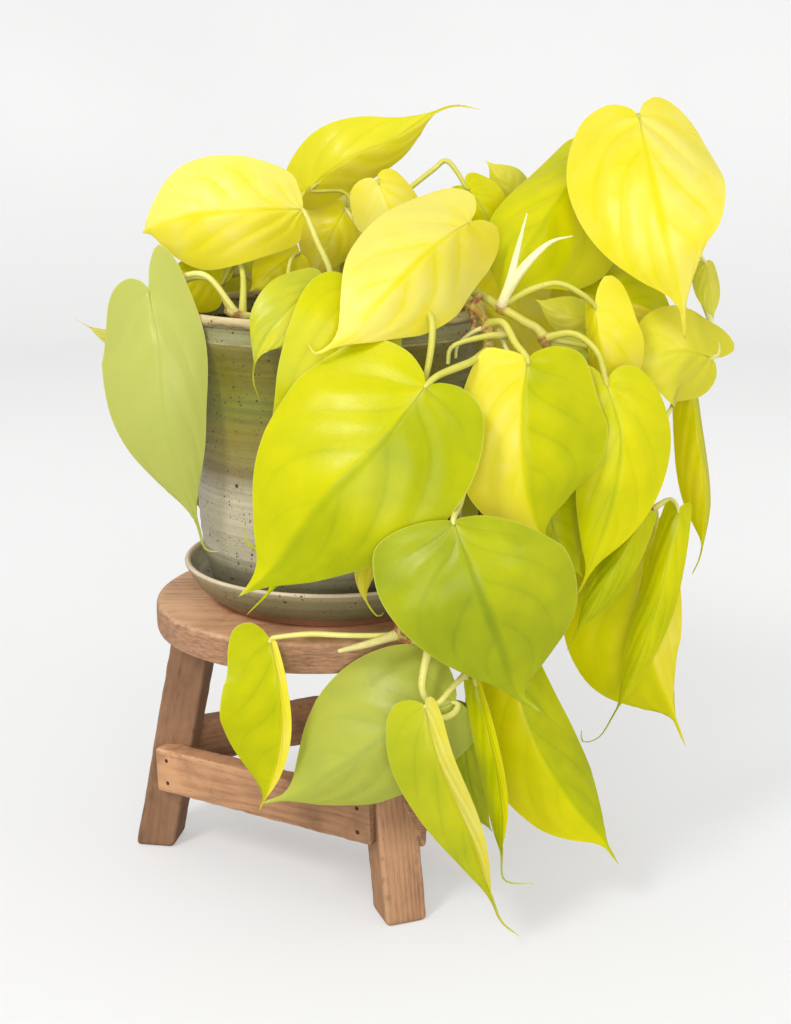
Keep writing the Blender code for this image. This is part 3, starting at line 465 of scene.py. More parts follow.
@dataclass(frozen=True)
class Placing:
    """Where the stool's own axis stands in the part's frame, in metres."""

    x: float
    y: float

    @classmethod
    def from_frame(cls) -> "Placing":
        """The middle of the stool top's box."""
        low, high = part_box("stool_top")
        return cls((low.x + high.x) / 2, (low.y + high.y) / 2)

    def add(self, name: str, skin: Skin, coat: Material, slot: Slot, *nodes: str) -> None:
        """Make a piece of the object that rides on its one body.

        Args:
            name: Name of the piece.
            skin: Its surface, in millimetres about the stool's axis.
            coat: Its material.
            slot: The record's slot of that material; not used.
            *nodes: CAD nodes that the piece stands for.
        """
        skin.points = skin.points * MM + np.array([self.x, self.y, 0])
        mesh = mesh_of(name, skin)
        mesh.materials.append(coat)
        piece = bpy.data.objects.new(name, mesh)
        bpy.context.scene.collection.objects.link(piece)
        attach(piece, "root")
        if nodes:
            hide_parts(*nodes)
        log.info("%s: %d faces", name, len(mesh.polygons))


# Shader graphs


def srgb(red: float, green: float, blue: float) -> Colour:
    """Linear colour of a screen colour given from 0 to 255.

    Args:
        red: Red.
        green: Green.
        blue: Blue.

    Returns:
        Linear colour with full alpha.
    """
    screen = [value / 255 for value in (red, green, blue)]
    linear = [v / 12.92 if v <= 0.04045 else ((v + 0.055) / 1.055) ** 2.4 for v in screen]
    return (*linear, 1.0)


Socket = NodeSocket
Input = Socket | float | Colour | tuple[float, ...]


@dataclass(frozen=True)
class Graph:
    """Adds nodes to one tree and joins them."""

    tree: NodeTree

    def node(
        self, kind: str, inputs: dict[str | int, Input] | None = None, **settings: object,
    ) -> Node:
        """A new node with its settings and what its inputs take.

        Args:
            kind: Blender's name for the node.
            inputs: Values or links by the name or number of the input.
            **settings: Properties of the node, set first.

        Returns:
            The node.
        """
        made = self.tree.nodes.new(kind)
        for name, value in settings.items():
            setattr(made, name, value)
        for name, value in (inputs or {}).items():
            self.feed(made.inputs[name], value)
        return made

    def feed(self, socket: Socket, value: Input) -> None:
        """Link a socket to another, or set its own value.

        Args:
            socket: Input to feed.
            value: Output to link, or a plain value.
        """
        if isinstance(value, NodeSocket):
            self.tree.links.new(value, socket)
        else:
            socket.default_value = value

    def math(self, operation: str, *values: Input, clamp: bool = False) -> Socket:
        """Result of a Math node."""
        entries = dict(enumerate(values))
        return self.node("ShaderNodeMath", entries, operation=operation, use_clamp=clamp).outputs[0]

    def times(self, first: Input, second: Input, clamp: bool = False) -> Socket:
        """Product of two numbers."""
        return self.math("MULTIPLY", first, second, clamp=clamp)

    def plus(self, first: Input, second: Input, clamp: bool = False) -> Socket:
        """Sum of two numbers."""
        return self.math("ADD", first, second, clamp=clamp)

    def less(self, first: Input, second: Input, clamp: bool = False) -> Socket:
        """First number less the second."""
        return self.math("SUBTRACT", first, second, clamp=clamp)

    def centred(self, value: Input, size: float) -> Socket:
        """A value from 0 to 1 made one from less half the size to half the size."""
        return self.times(self.less(value, 0.5), size)

    def tint(self, colour: Input, other: Input, mask: Input, share: float) -> Socket:
        """A colour with a share of another one where a mask is 1."""
        return self.mix(self.times(mask, share), colour, other)

    def span(self, value: Input, low: Input, high: Input, to_low: float = 0, to_high: float = 1) -> Socket:
        """Value mapped smoothly from low..high to to_low..to_high, and held outside them."""
        entries = dict(enumerate((value, low, high, to_low, to_high)))
        return self.node("ShaderNodeMapRange", entries, interpolation_type="SMOOTHSTEP").outputs[0]

    def mix(self, factor: Input, first: Input, second: Input, blend: str = "MIX") -> Socket:
        """Result of a colour Mix node.

        Args:
            factor: Share of the second colour.
            first: First colour.
            second: Second colour.
            blend: Blend type.

        Returns:
            The mixed colour.
        """
        made = self.node("ShaderNodeMix", data_type="RGBA", blend_type=blend)
        for name, value in (("Factor_Float", factor), ("A_Color", first), ("B_Color", second)):
            self.feed(next(s for s in made.inputs if s.identifier == name), value)
        return next(s for s in made.outputs if s.identifier == "Result_Color")

    def ramp(self, factor: Input, stops: Sequence[tuple[float, Colour]]) -> Socket:
        """Colour ramp through stops.

        Args:
            factor: Place on the ramp.
            stops: Places and colours, at least two.

        Returns:
            The colour.
        """
        made = self.node("ShaderNodeValToRGB", {0: factor})
        elements = made.color_ramp.elements
        for number, (place, colour) in enumerate(stops):
            stop = elements[number] if number < 2 else elements.new(place)
            stop.position = place
            stop.color = colour
        return made.outputs[0]

    def stretch(self, place: Input, by: tuple[float, float, float]) -> Socket:
        """Place scaled along each axis."""
        return self.node("ShaderNodeMapping", {"Vector": place, "Scale": by}).outputs[0]

    def noise(
        self, place: Input, scale: Input, detail: float = 3, rough: float = 0.5, twist: float = 0,
    ) -> Socket:
        """Value of a noise at a place."""
        entries = {"Vector": place, "Scale": scale, "Detail": detail, "Roughness": rough, "Distortion": twist}
        return self.node("ShaderNodeTexNoise", entries).outputs[0]

    def reading(self, name: str, output: str = "Fac") -> Socket:
        """One output of a point attribute."""
        return self.node("ShaderNodeAttribute", attribute_name=name).outputs[output]

    def parts(self, vector: Input) -> tuple[Socket, Socket, Socket]:
        """The three numbers of a vector."""
        return tuple(self.node("ShaderNodeSeparateXYZ", {0: vector}).outputs)

    def effect(self, group: NodeTree, **values: Input) -> dict[str, Socket]:
        """Place a node group with its own values and give its outputs by name."""
        made = self.node("ShaderNodeGroup", values, node_tree=group)
        return {output.name: output for output in made.outputs}

    def put_out(self, **values: Input) -> None:
        """Feed the outputs of a node group's own graph."""
        for name, value in values.items():
            self.feed(self.tree.nodes["Group Output"].inputs[name], value)

    def mask(self, group: NodeTree, place: Input, **values: Input) -> Socket:
        """The mask that a node group gives at a place."""
        return self.effect(group, Place=place, **values)["Mask"]

    def bump(self, height: Input, depth: float, strength: float, normal: Socket | None = None) -> Socket:
        """Normal of a Bump node whose full height is depth in metres."""
        entries = {"Strength": strength, "Distance": depth, "Height": height}
        return self.node("ShaderNodeBump", entries | ({"Normal": normal} if normal else {})).outputs[0]

    def dress(
        self, shader: Node, colour: Input, rough: Input, normal: Input | None, gloss: float = 0.5,
    ) -> None:
        """Feed a Principled shader's colour, roughness and normal, and set its gloss.

        Args:
            shader: The shader.
            colour: Base colour.
            rough: Roughness.
            normal: Normal, if there is one.
            gloss: Specular level.
        """
        self.feed(shader.inputs["Base Color"], colour)
        self.feed(shader.inputs["Roughness"], rough)
        if normal:
            self.feed(shader.inputs["Normal"], normal)
        shader.inputs["Specular IOR Level"].default_value = gloss


def new_material(name: str) -> tuple[Material, Graph, Node, Socket]:
    """A material, its graph, its Principled shader and its Object coordinates.

    Args:
        name: Name of the material.

    Returns:
        All four, in that order.
    """
    coat = bpy.data.materials.new(name)
    coat.use_nodes = True
    g = Graph(coat.node_tree)
    return coat, g, coat.node_tree.nodes["Principled BSDF"], g.node("ShaderNodeTexCoord").outputs["Object"]


def new_effect(
    name: str, inputs: Sequence[tuple[str, float | None]], outputs: Sequence[str],
) -> tuple[NodeTree, Graph, dict[str, Socket]]:
    """An empty node group.

    Args:
        name: Name of the group.
        inputs: Names of its inputs with their usual values; None makes a vector.
        outputs: Names of its numbers.

    Returns:
        The group, its graph and its inputs by name.
    """
    tree = bpy.data.node_groups.new(name, "ShaderNodeTree")
    for label, value in inputs:
        kind = "NodeSocketVector" if value is None else "NodeSocketFloat"
        socket = tree.interface.new_socket(label, in_out="INPUT", socket_type=kind)
        if value is not None:
            socket.default_value = value
    for label in outputs:
        tree.interface.new_socket(label, in_out="OUTPUT", socket_type="NodeSocketFloat")
    graph = Graph(tree)
    entry = graph.node("NodeGroupInput")
    graph.node("NodeGroupOutput")
    return tree, graph, {socket.name: socket for socket in entry.outputs if socket.name}


@cache
def mottling() -> NodeTree:
    """Soft uneven patches: noise between a low and a high mark.

    Returns:
        The node group.
    """
    tree, g, into = new_effect(
        "mottling", [("Place", None), ("Scale", 30), ("Low", 0.35), ("High", 0.65)], ["Mask"])
    patches = g.noise(into["Place"], into["Scale"], 4, 0.55, 0.3)
    g.put_out(Mask=g.span(patches, into["Low"], into["High"]))
    return tree


@cache
def specks() -> NodeTree:
    """Small dark spots: cells whose middle is nearer than a radius that differs from cell to cell.

    Amount is the share of the cells that have a spot, and Radius its greatest radius in cells.

    Returns:
        The node group.
    """
    tree, g, into = new_effect(
        "specks", [("Place", None), ("Scale", 400), ("Amount", 0.3), ("Radius", 0.3)], ["Mask"])
    wobble = g.node("ShaderNodeTexNoise", {"Vector": into["Place"], "Scale": g.times(into["Scale"], 1.7)})
    moves = {0: wobble.outputs[1], 1: (0.0009, 0.0009, 0.0009), 2: into["Place"]}
    shifted = g.node("ShaderNodeVectorMath", moves, operation="MULTIPLY_ADD")
    cells = g.node("ShaderNodeTexVoronoi", {"Vector": shifted.outputs[0], "Scale": into["Scale"]})
    red, green, _ = g.parts(cells.outputs["Color"])
    radius = g.times(into["Radius"], g.plus(0.35, g.times(green, 0.65)))
    near = g.span(cells.outputs["Distance"], g.times(radius, 0.55), radius, 1, 0)
    there = g.math("LESS_THAN", red, into["Amount"])
    g.put_out(Mask=g.times(near, there))
    return tree


@cache
def wood_grain() -> NodeTree:
    """Wood: yearly rings round the X axis of the place, fine fibres along it, pores and knots.

    The place is in metres along the board, across it and through it. Rings are a sine of the distance
    from a pith beside the board, bent by noise that is drawn out along the grain.

    Returns:
        The node group.
    """
    tree, g, into = new_effect(
        "wood grain", [("Place", None), ("Spacing", 0.0035), ("Knots", 0.5)],
        ["Rings", "Fibres", "Pores", "Knots"])
    _, y, z = g.parts(into["Place"])
    bend = g.noise(g.stretch(into["Place"], (7, 40, 40)), 1, 2)
    bend = g.centred(bend, 0.016)
    away = g.math("SQRT", g.plus(g.math("POWER", g.plus(y, 0.021), 2), g.math("POWER", g.plus(z, 0.034), 2)))
    turns = g.math("DIVIDE", g.plus(away, bend), into["Spacing"])
    rings = g.times(g.plus(g.math("SINE", g.times(turns, 2 * math.pi)), 1), 0.5)
    g.put_out(Rings=g.math("POWER", rings, 1.6))
    g.put_out(Fibres=g.noise(g.stretch(into["Place"], (46, 1100, 1100)), 1, 5, 0.66))
    pores = g.noise(g.stretch(into["Place"], (75, 1500, 1500)), 1, 2)
    g.put_out(Pores=g.span(pores, 0.62, 0.74))
    cells = g.node("ShaderNodeTexVoronoi", {"Vector": g.stretch(into["Place"], (11, 24, 24)), "Scale": 1})
    red, _, _ = g.parts(cells.outputs["Color"])
    near = g.span(cells.outputs["Distance"], 0.05, 0.2, 1, 0)
    g.put_out(Knots=g.times(near, g.math("LESS_THAN", red, into["Knots"])))
    return tree


@cache
def edge_wear() -> NodeTree:
    """Rubbed edges: nearness to an edge, broken up by noise.

    Returns:
        The node group.
    """
    tree, g, into = new_effect("edge wear", [("Place", None), ("Edge", 0), ("Scale", 120)], ["Mask"])
    rough = g.centred(g.noise(into["Place"], into["Scale"], 4, 0.6), 1.1)
    g.put_out(Mask=g.span(g.plus(into["Edge"], rough), 0.45, 0.95))
    return tree


@cache
def blade_veins() -> NodeTree:
    """Veins of a heart leaf, from the map of the blade.

    Across is 0.5 on the midrib and 0 or 1 on the margins, and Along runs from the base to the tip. A
    side vein is a line where Turns, which the blade's mesh holds, is a whole number.

    Returns:
        The node group.
    """
    tree, g, into = new_effect(
        "blade veins", [("Across", 0.5), ("Along", 0), ("Turns", 0)],
        ["Vein", "Swell", "Midrib", "Rim", "Base"])
    way = g.math("ABSOLUTE", g.less(g.times(into["Across"], 2), 1))
    off = g.math("ABSOLUTE", g.less(g.math("FRACT", g.plus(into["Turns"], 10.5)), 0.5))
    fade = g.times(g.span(way, 0.95, 0.5), g.span(into["Along"], 0.9, 0.55))
    fade = g.times(fade, g.span(way, 0.0, 0.12))
    g.put_out(Vein=g.times(g.span(off, 0.12, 0.0), fade))
    g.put_out(Swell=g.times(g.span(off, 0.0, 0.5), fade))
    narrow = g.plus(0.055, g.times(g.math("POWER", into["Along"], 2), 0.12))
    g.put_out(Midrib=g.times(g.span(way, narrow, 0.0), g.span(into["Along"], 0.95, 0.5)))
    g.put_out(Rim=g.span(way, 0.985, 1.0))
    g.put_out(Base=g.times(g.span(way, 0.4, 0.0), g.span(into["Along"], 0.14, 0.0)))
    return tree


# Finishes


@dataclass(frozen=True)
class LeafFinish:
    """Heartleaf blade: hue from pale yellow to green, veins, painted highlights on the swells between veins,
    a pale rim of painted light, satin gloss, light coming through.

    glow is the share of the light that comes through the blade, and lit its tint.
    """

    name: str
    ramp: tuple[tuple[float, Colour], ...] = (
        (0.0, srgb(255, 247, 124)), (0.1, srgb(254, 243, 76)), (0.2, srgb(248, 239, 36)),
        (0.35, srgb(236, 232, 6)), (0.5, srgb(220, 221, 0)), (0.65, srgb(198, 206, 0)),
        (0.8, srgb(176, 188, 4)), (1.0, srgb(140, 160, 12)))
    dusty: Colour = srgb(198, 207, 120)
    # Pale tint for the margin, the base and the tip; on the margin it is painted light coming through the
    # thin edge.
    rim: Colour = srgb(240, 240, 130)
    under: Colour = srgb(206, 214, 110)
    lit: Colour = srgb(255, 240, 40)
    glow: float = 0.4
    roughness: float = 0.3
    sheen: float = 0.26

    def make(self) -> Material:
        """Build the material.

        Returns:
            The material.
        """
        coat, g, shader, place = new_material(self.name)
        across, along, _ = g.parts(g.node("ShaderNodeUVMap", uv_map="map").outputs[0])
        veins = g.effect(blade_veins(), Across=across, Along=along, Turns=g.reading("turns"))
        patches = g.mask(mottling(), place, Scale=34.0, Low=0.25, High=0.75)
        hue = g.plus(g.reading("hue"), g.centred(patches, 0.16))
        hue = g.plus(hue, g.times(veins["Vein"], 0.06))
        hue = g.plus(hue, g.times(veins["Midrib"], 0.14))
        # Painted highlight: the hue turns paler on the swells between the side veins, in patches of noise.
        crest = g.times(veins["Swell"], g.span(g.noise(place, 38, 2), 0.4, 0.62))
        hue = g.less(hue, g.times(crest, 0.07), clamp=True)
        colour = g.ramp(hue, self.ramp)
        colour = g.mix(g.reading("dust"), colour, self.dusty)
        colour = g.tint(colour, self.under, g.reading("under"), 0.55)
        # Pale line along the margin: painted light coming through the thin edge.
        colour = g.tint(colour, self.rim, veins["Rim"], 0.55)
        colour = g.tint(colour, self.rim, veins["Base"], 0.5)
        colour = g.tint(colour, self.rim, g.span(along, 0.93, 1.0), 0.35)
        rough = g.plus(self.roughness, g.times(g.reading("under"), 0.25))
        rough = g.plus(rough, g.centred(g.noise(place, 160, 2), 0.16))
        height = g.less(veins["Swell"], g.times(veins["Vein"], 0.12))
        height = g.less(height, g.times(veins["Midrib"], 0.6))
        soft = g.bump(height, 0.0005, 0.5)
        g.dress(shader, colour, rough, g.bump(g.noise(place, 620, 1), 0.00012, 0.5, soft), self.sheen)
        shine = g.mix(0.35, colour, self.lit, "MULTIPLY")
        through = g.node("ShaderNodeBsdfTranslucent", {"Color": shine})
        blend = g.node("ShaderNodeMixShader", {0: self.glow, 1: shader.outputs[0], 2: through.outputs[0]})
        exit_node = next(node for node in g.tree.nodes if node.type == "OUTPUT_MATERIAL")
        g.feed(exit_node.inputs["Surface"], blend.outputs[0])
        return coat


@dataclass(frozen=True)
class StalkFinish:
    """Leaf stalks and stems: pale waxy green with finer lines along them, brown at old joints."""

    name: str
    pale: Colour = srgb(248, 242, 156)
    green: Colour = srgb(204, 200, 78)
    scar: Colour = srgb(142, 84, 40)
    blanched: Colour = srgb(255, 250, 196)

    def make(self) -> Material:
        """Build the material.

        Returns:
            The material.
        """
        coat, g, shader, place = new_material(self.name)
        patches = g.mask(mottling(), place, Scale=60.0)
        colour = g.mix(g.plus(g.reading("hue"), g.times(patches, 0.25), clamp=True), self.pale, self.green)
        colour = g.mix(g.reading("blanch"), colour, self.blanched)
        broken = g.mask(mottling(), place, Scale=420.0, Low=0.3, High=0.6)
        scar = g.times(g.reading("scar"), g.plus(0.45, g.times(broken, 0.55)))
        colour = g.mix(scar, colour, self.scar)
        flecks = g.mask(specks(), place, Scale=520.0, Amount=0.18, Radius=0.3)
        colour = g.tint(colour, self.scar, flecks, 0.35)
        lines, _, _ = g.parts(g.node("ShaderNodeUVMap", uv_map="map").outputs[0])
        ridges = g.math("SINE", g.times(lines, 14 * math.pi))
        height = g.plus(g.times(ridges, 0.25), g.noise(place, 380, 4))
        g.dress(shader, colour, g.plus(0.38, g.times(scar, 0.35)), g.bump(height, 0.0003, 0.6))
        return coat


@dataclass(frozen=True)
class WoodFinish:
    """Worn softwood with a thin brown stain: rings, fibres, knots, rubbed pale edges and grime."""

    name: str
    light: Colour
    dark: Colour
    worn: Colour
    ring_spacing: float
    roughness: float = 0.6
    knots: float = 0.25

    def make(self) -> Material:
        """Build the material.

        Returns:
            The material.
        """
        coat, g, shader, place = new_material(self.name)
        grain = g.reading("grain", "Vector")
        wood = g.effect(wood_grain(), Place=grain, Spacing=self.ring_spacing, Knots=self.knots)
        end = g.reading("end")
        tone = g.plus(g.times(wood["Rings"], 0.14), g.times(wood["Fibres"], 0.5))
        clouds = g.mask(mottling(), place, Scale=26.0, Low=0.25, High=0.75)
        tone = g.plus(tone, g.times(g.less(clouds, 0.35), 0.42))
        colour = g.mix(g.span(tone, 0.15, 0.85), self.light, self.dark)
        knot = g.times(wood["Knots"], g.less(1, end))
        colour = g.tint(colour, srgb(84, 48, 30), knot, 0.75)
        colour = g.tint(colour, srgb(70, 42, 30), wood["Pores"], 0.5)
        rough_sawn = g.noise(g.stretch(place, (0.22, 0.22, 1.2)), 750, 4, 0.65)
        sawn = g.mix(g.span(rough_sawn, 0.3, 0.7), srgb(122, 82, 58), srgb(178, 134, 100))
        colour = g.tint(colour, sawn, end, 0.85)
        grime = g.span(g.noise(place, 62, 4, 0.6), 0.52, 0.74)
        colour = g.tint(colour, srgb(92, 60, 40), grime, 0.42)
        edge = g.reading("edge")
        wear = g.mask(edge_wear(), place, Edge=edge, Scale=130.0)
        colour = g.tint(colour, self.worn, wear, 0.4)
        nicks = g.times(g.span(edge, 0.3, 0.9), g.span(g.noise(place, 210, 3), 0.55, 0.68))
        colour = g.tint(colour, srgb(96, 62, 42), nicks, 0.5)
        colour = g.mix(g.reading("stain"), colour, srgb(96, 66, 44))
        rough = g.plus(self.roughness, g.centred(wood["Fibres"], 0.3))
        rough = g.plus(rough, g.times(end, 0.2))
        height = g.less(wood["Fibres"], g.times(wood["Rings"], 0.35))
        height = g.less(height, g.times(wood["Pores"], 0.8))
        soft = g.bump(height, 0.0005, 0.55)
        g.dress(shader, colour, rough, g.bump(g.times(rough_sawn, end), 0.0009, 0.7, soft))
        return coat


@dataclass(frozen=True)
class GlazeFinish:
    """Speckled stoneware glaze: bands of colour by height, throwing lines, iron spots and soft gloss, with a
    paler inside where the skin marks it, which is painted light.

    bands are heights in metres above the floor with their colours, and bare is the height below
    which the clay shows without glaze.
    """

    name: str
    low: float
    high: float
    bands: tuple[tuple[float, Colour], ...]
    bare: float
    # Paler tint of the inside: painted light, lifting the well that the leaves shade.
    inside: Colour = srgb(216, 210, 190)
    clay: Colour = srgb(132, 84, 62)
    spot: Colour = srgb(44, 33, 24)
    roughness: float = 0.26
    smear: float = 0.02
    sheen: float = 0.28

    def make(self) -> Material:
        """Build the material.

        Returns:
            The material.
        """
        coat, g, shader, place = new_material(self.name)
        _, _, z = g.parts(place)
        drift = g.noise(g.stretch(place, (14, 14, 60)), 1, 4, 0.6)
        level = g.math("DIVIDE", g.less(z, self.low), self.high - self.low)
        level = g.plus(level, g.centred(drift, self.smear * 2))
        stops = tuple(((height - self.low) / (self.high - self.low), colour) for height, colour in self.bands)
        colour = g.ramp(level, stops)
        # Painted light: the marked inside is tinted paler.
        colour = g.tint(colour, self.inside, g.reading("inner"), 0.85)
        lines = g.noise(g.stretch(place, (5, 5, 420)), 1, 3, 0.6)
        colour = g.mix(g.span(lines, 0.35, 0.7, 0, 0.26), colour, srgb(70, 62, 42))
        clouds = g.mask(mottling(), place, Scale=55.0, Low=0.3, High=0.75)
        colour = g.tint(colour, srgb(150, 152, 96), clouds, 0.12)
        fine = g.mask(specks(), place, Scale=760.0, Amount=0.36, Radius=0.42)
        bold = g.mask(specks(), place, Scale=380.0, Amount=0.36, Radius=0.32)
        large = g.mask(specks(), place, Scale=170.0, Amount=0.3, Radius=0.24)
        spots = g.math("MAXIMUM", g.times(fine, 0.6), g.times(bold, 0.85))
        spots = g.math("MAXIMUM", spots, g.times(large, 0.9))
        colour = g.mix(spots, colour, self.spot)
        wear = g.mask(edge_wear(), place, Edge=g.reading("edge"), Scale=90.0)
        colour = g.tint(colour, srgb(226, 204, 172), wear, 0.7)
        uneven = g.centred(g.noise(place, 90, 3), 0.002)
        raw = g.span(g.plus(z, uneven), self.bare + 0.0004, self.bare - 0.0004)
        grit = g.mix(g.noise(place, 1500, 3), self.clay, srgb(172, 122, 92))
        colour = g.mix(raw, colour, grit)
        rough = g.plus(self.roughness, g.times(clouds, 0.14))
        rough = g.plus(rough, g.times(spots, 0.25))
        rough = g.plus(rough, g.times(raw, 0.5), clamp=True)
        height = g.plus(g.times(lines, 0.9), g.times(g.noise(place, 240, 3), 0.5))
        height = g.less(height, g.times(spots, 0.35))
        g.dress(shader, colour, rough, g.bump(height, 0.0007, 0.45), self.sheen)
        return coat


@dataclass(frozen=True)
class SoilFinish:
    """Moist potting soil: dark crumbs in several browns, with fibres and grit."""

    name: str
    dark: Colour = srgb(38, 26, 18)
    brown: Colour = srgb(92, 62, 38)

    def make(self) -> Material:
        """Build the material.

        Returns:
            The material.
        """
        coat, g, shader, place = new_material(self.name)
        grit = g.noise(place, 420, 6, 0.7)
        crumbs = g.mask(mottling(), place, Scale=180.0, Low=0.3, High=0.7)
        tone = g.times(grit, g.plus(0.6, g.times(crumbs, 0.7)))
        colour = g.mix(g.span(tone, 0.3, 0.7), self.dark, self.brown)
        flecks = g.mask(specks(), place, Scale=300.0, Amount=0.12, Radius=0.3)
        colour = g.mix(flecks, colour, srgb(196, 182, 158))
        rough = g.span(grit, 0.2, 0.8, 0.7, 1.0)
        g.dress(shader, colour, rough, g.bump(g.plus(grit, crumbs), 0.0022, 0.9))
        return coat


@dataclass(frozen=True)
class GritFinish:
    """Loose grains of one stuff: a tone that differs a little from grain to grain, pitted."""

    name: str
    light: Colour
    dark: Colour
    roughness: float = 0.9

    def make(self) -> Material:
        """Build the material.

        Returns:
            The material.
        """
        coat, g, shader, place = new_material(self.name)
        pits = g.noise(place, 1300, 4, 0.65)
        tone = g.plus(g.times(g.reading("tone"), 0.7), g.times(pits, 0.45))
        colour = g.mix(g.span(tone, 0.2, 0.9), self.light, self.dark)
        rough = g.span(pits, 0.2, 0.8, self.roughness - 0.1, self.roughness + 0.05)
        g.dress(shader, colour, rough, g.bump(pits, 0.0006, 0.8))
        return coat


@dataclass(frozen=True)
class SteelFinish:
    """Dulled nail heads: dark iron with rust patches."""

    name: str

    def make(self) -> Material:
        """Build the material.

        Returns:
            The material.
        """
        coat, g, shader, place = new_material(self.name)
        rust = g.mask(mottling(), place, Scale=900.0, Low=0.35, High=0.6)
        g.feed(shader.inputs["Metallic"], g.span(rust, 0, 1, 0.9, 0.1))
        colour = g.mix(rust, srgb(62, 56, 52), srgb(92, 50, 30))
        pits = g.bump(g.noise(place, 2200, 3), 0.0002, 0.6)
        g.dress(shader, colour, g.span(rust, 0, 1, 0.4, 0.85), pits)
        return coat


@dataclass(frozen=True)
class BackdropFinish:
    """Plain matt pale floor and wall with hardly any unevenness, made brighter for the camera alone."""

    name: str
    colour: Colour = srgb(189, 189, 189)
    far: Colour = srgb(197, 197, 197)
    wall: Colour = srgb(203, 203, 203)
    glow: float = 0.71

    def make(self) -> Material:
        """Build the material.

        Returns:
            The material.
        """
        coat, g, shader, place = new_material(self.name)
        _, depth, height = g.parts(place)
        paper = g.mix(g.span(depth, 0.1, 1.0), self.colour, self.far)
        paper = g.mix(g.span(height, 0.0, 0.5), paper, self.wall)
        soft = g.span(g.noise(place, 1.4, 2), 0.3, 0.7)
        paper = g.mix(g.times(soft, 0.3), paper, srgb(192, 192, 192))
        g.dress(shader, paper, 0.95, None, 0.1)
        seen = g.node("ShaderNodeLightPath").outputs["Is Camera Ray"]
        g.feed(shader.inputs["Emission Color"], g.mix(seen, srgb(0, 0, 0), paper))
        shader.inputs["Emission Strength"].default_value = self.glow
        coat.cycles.emission_sampling = "NONE"
        return coat


# Sub-assemblies


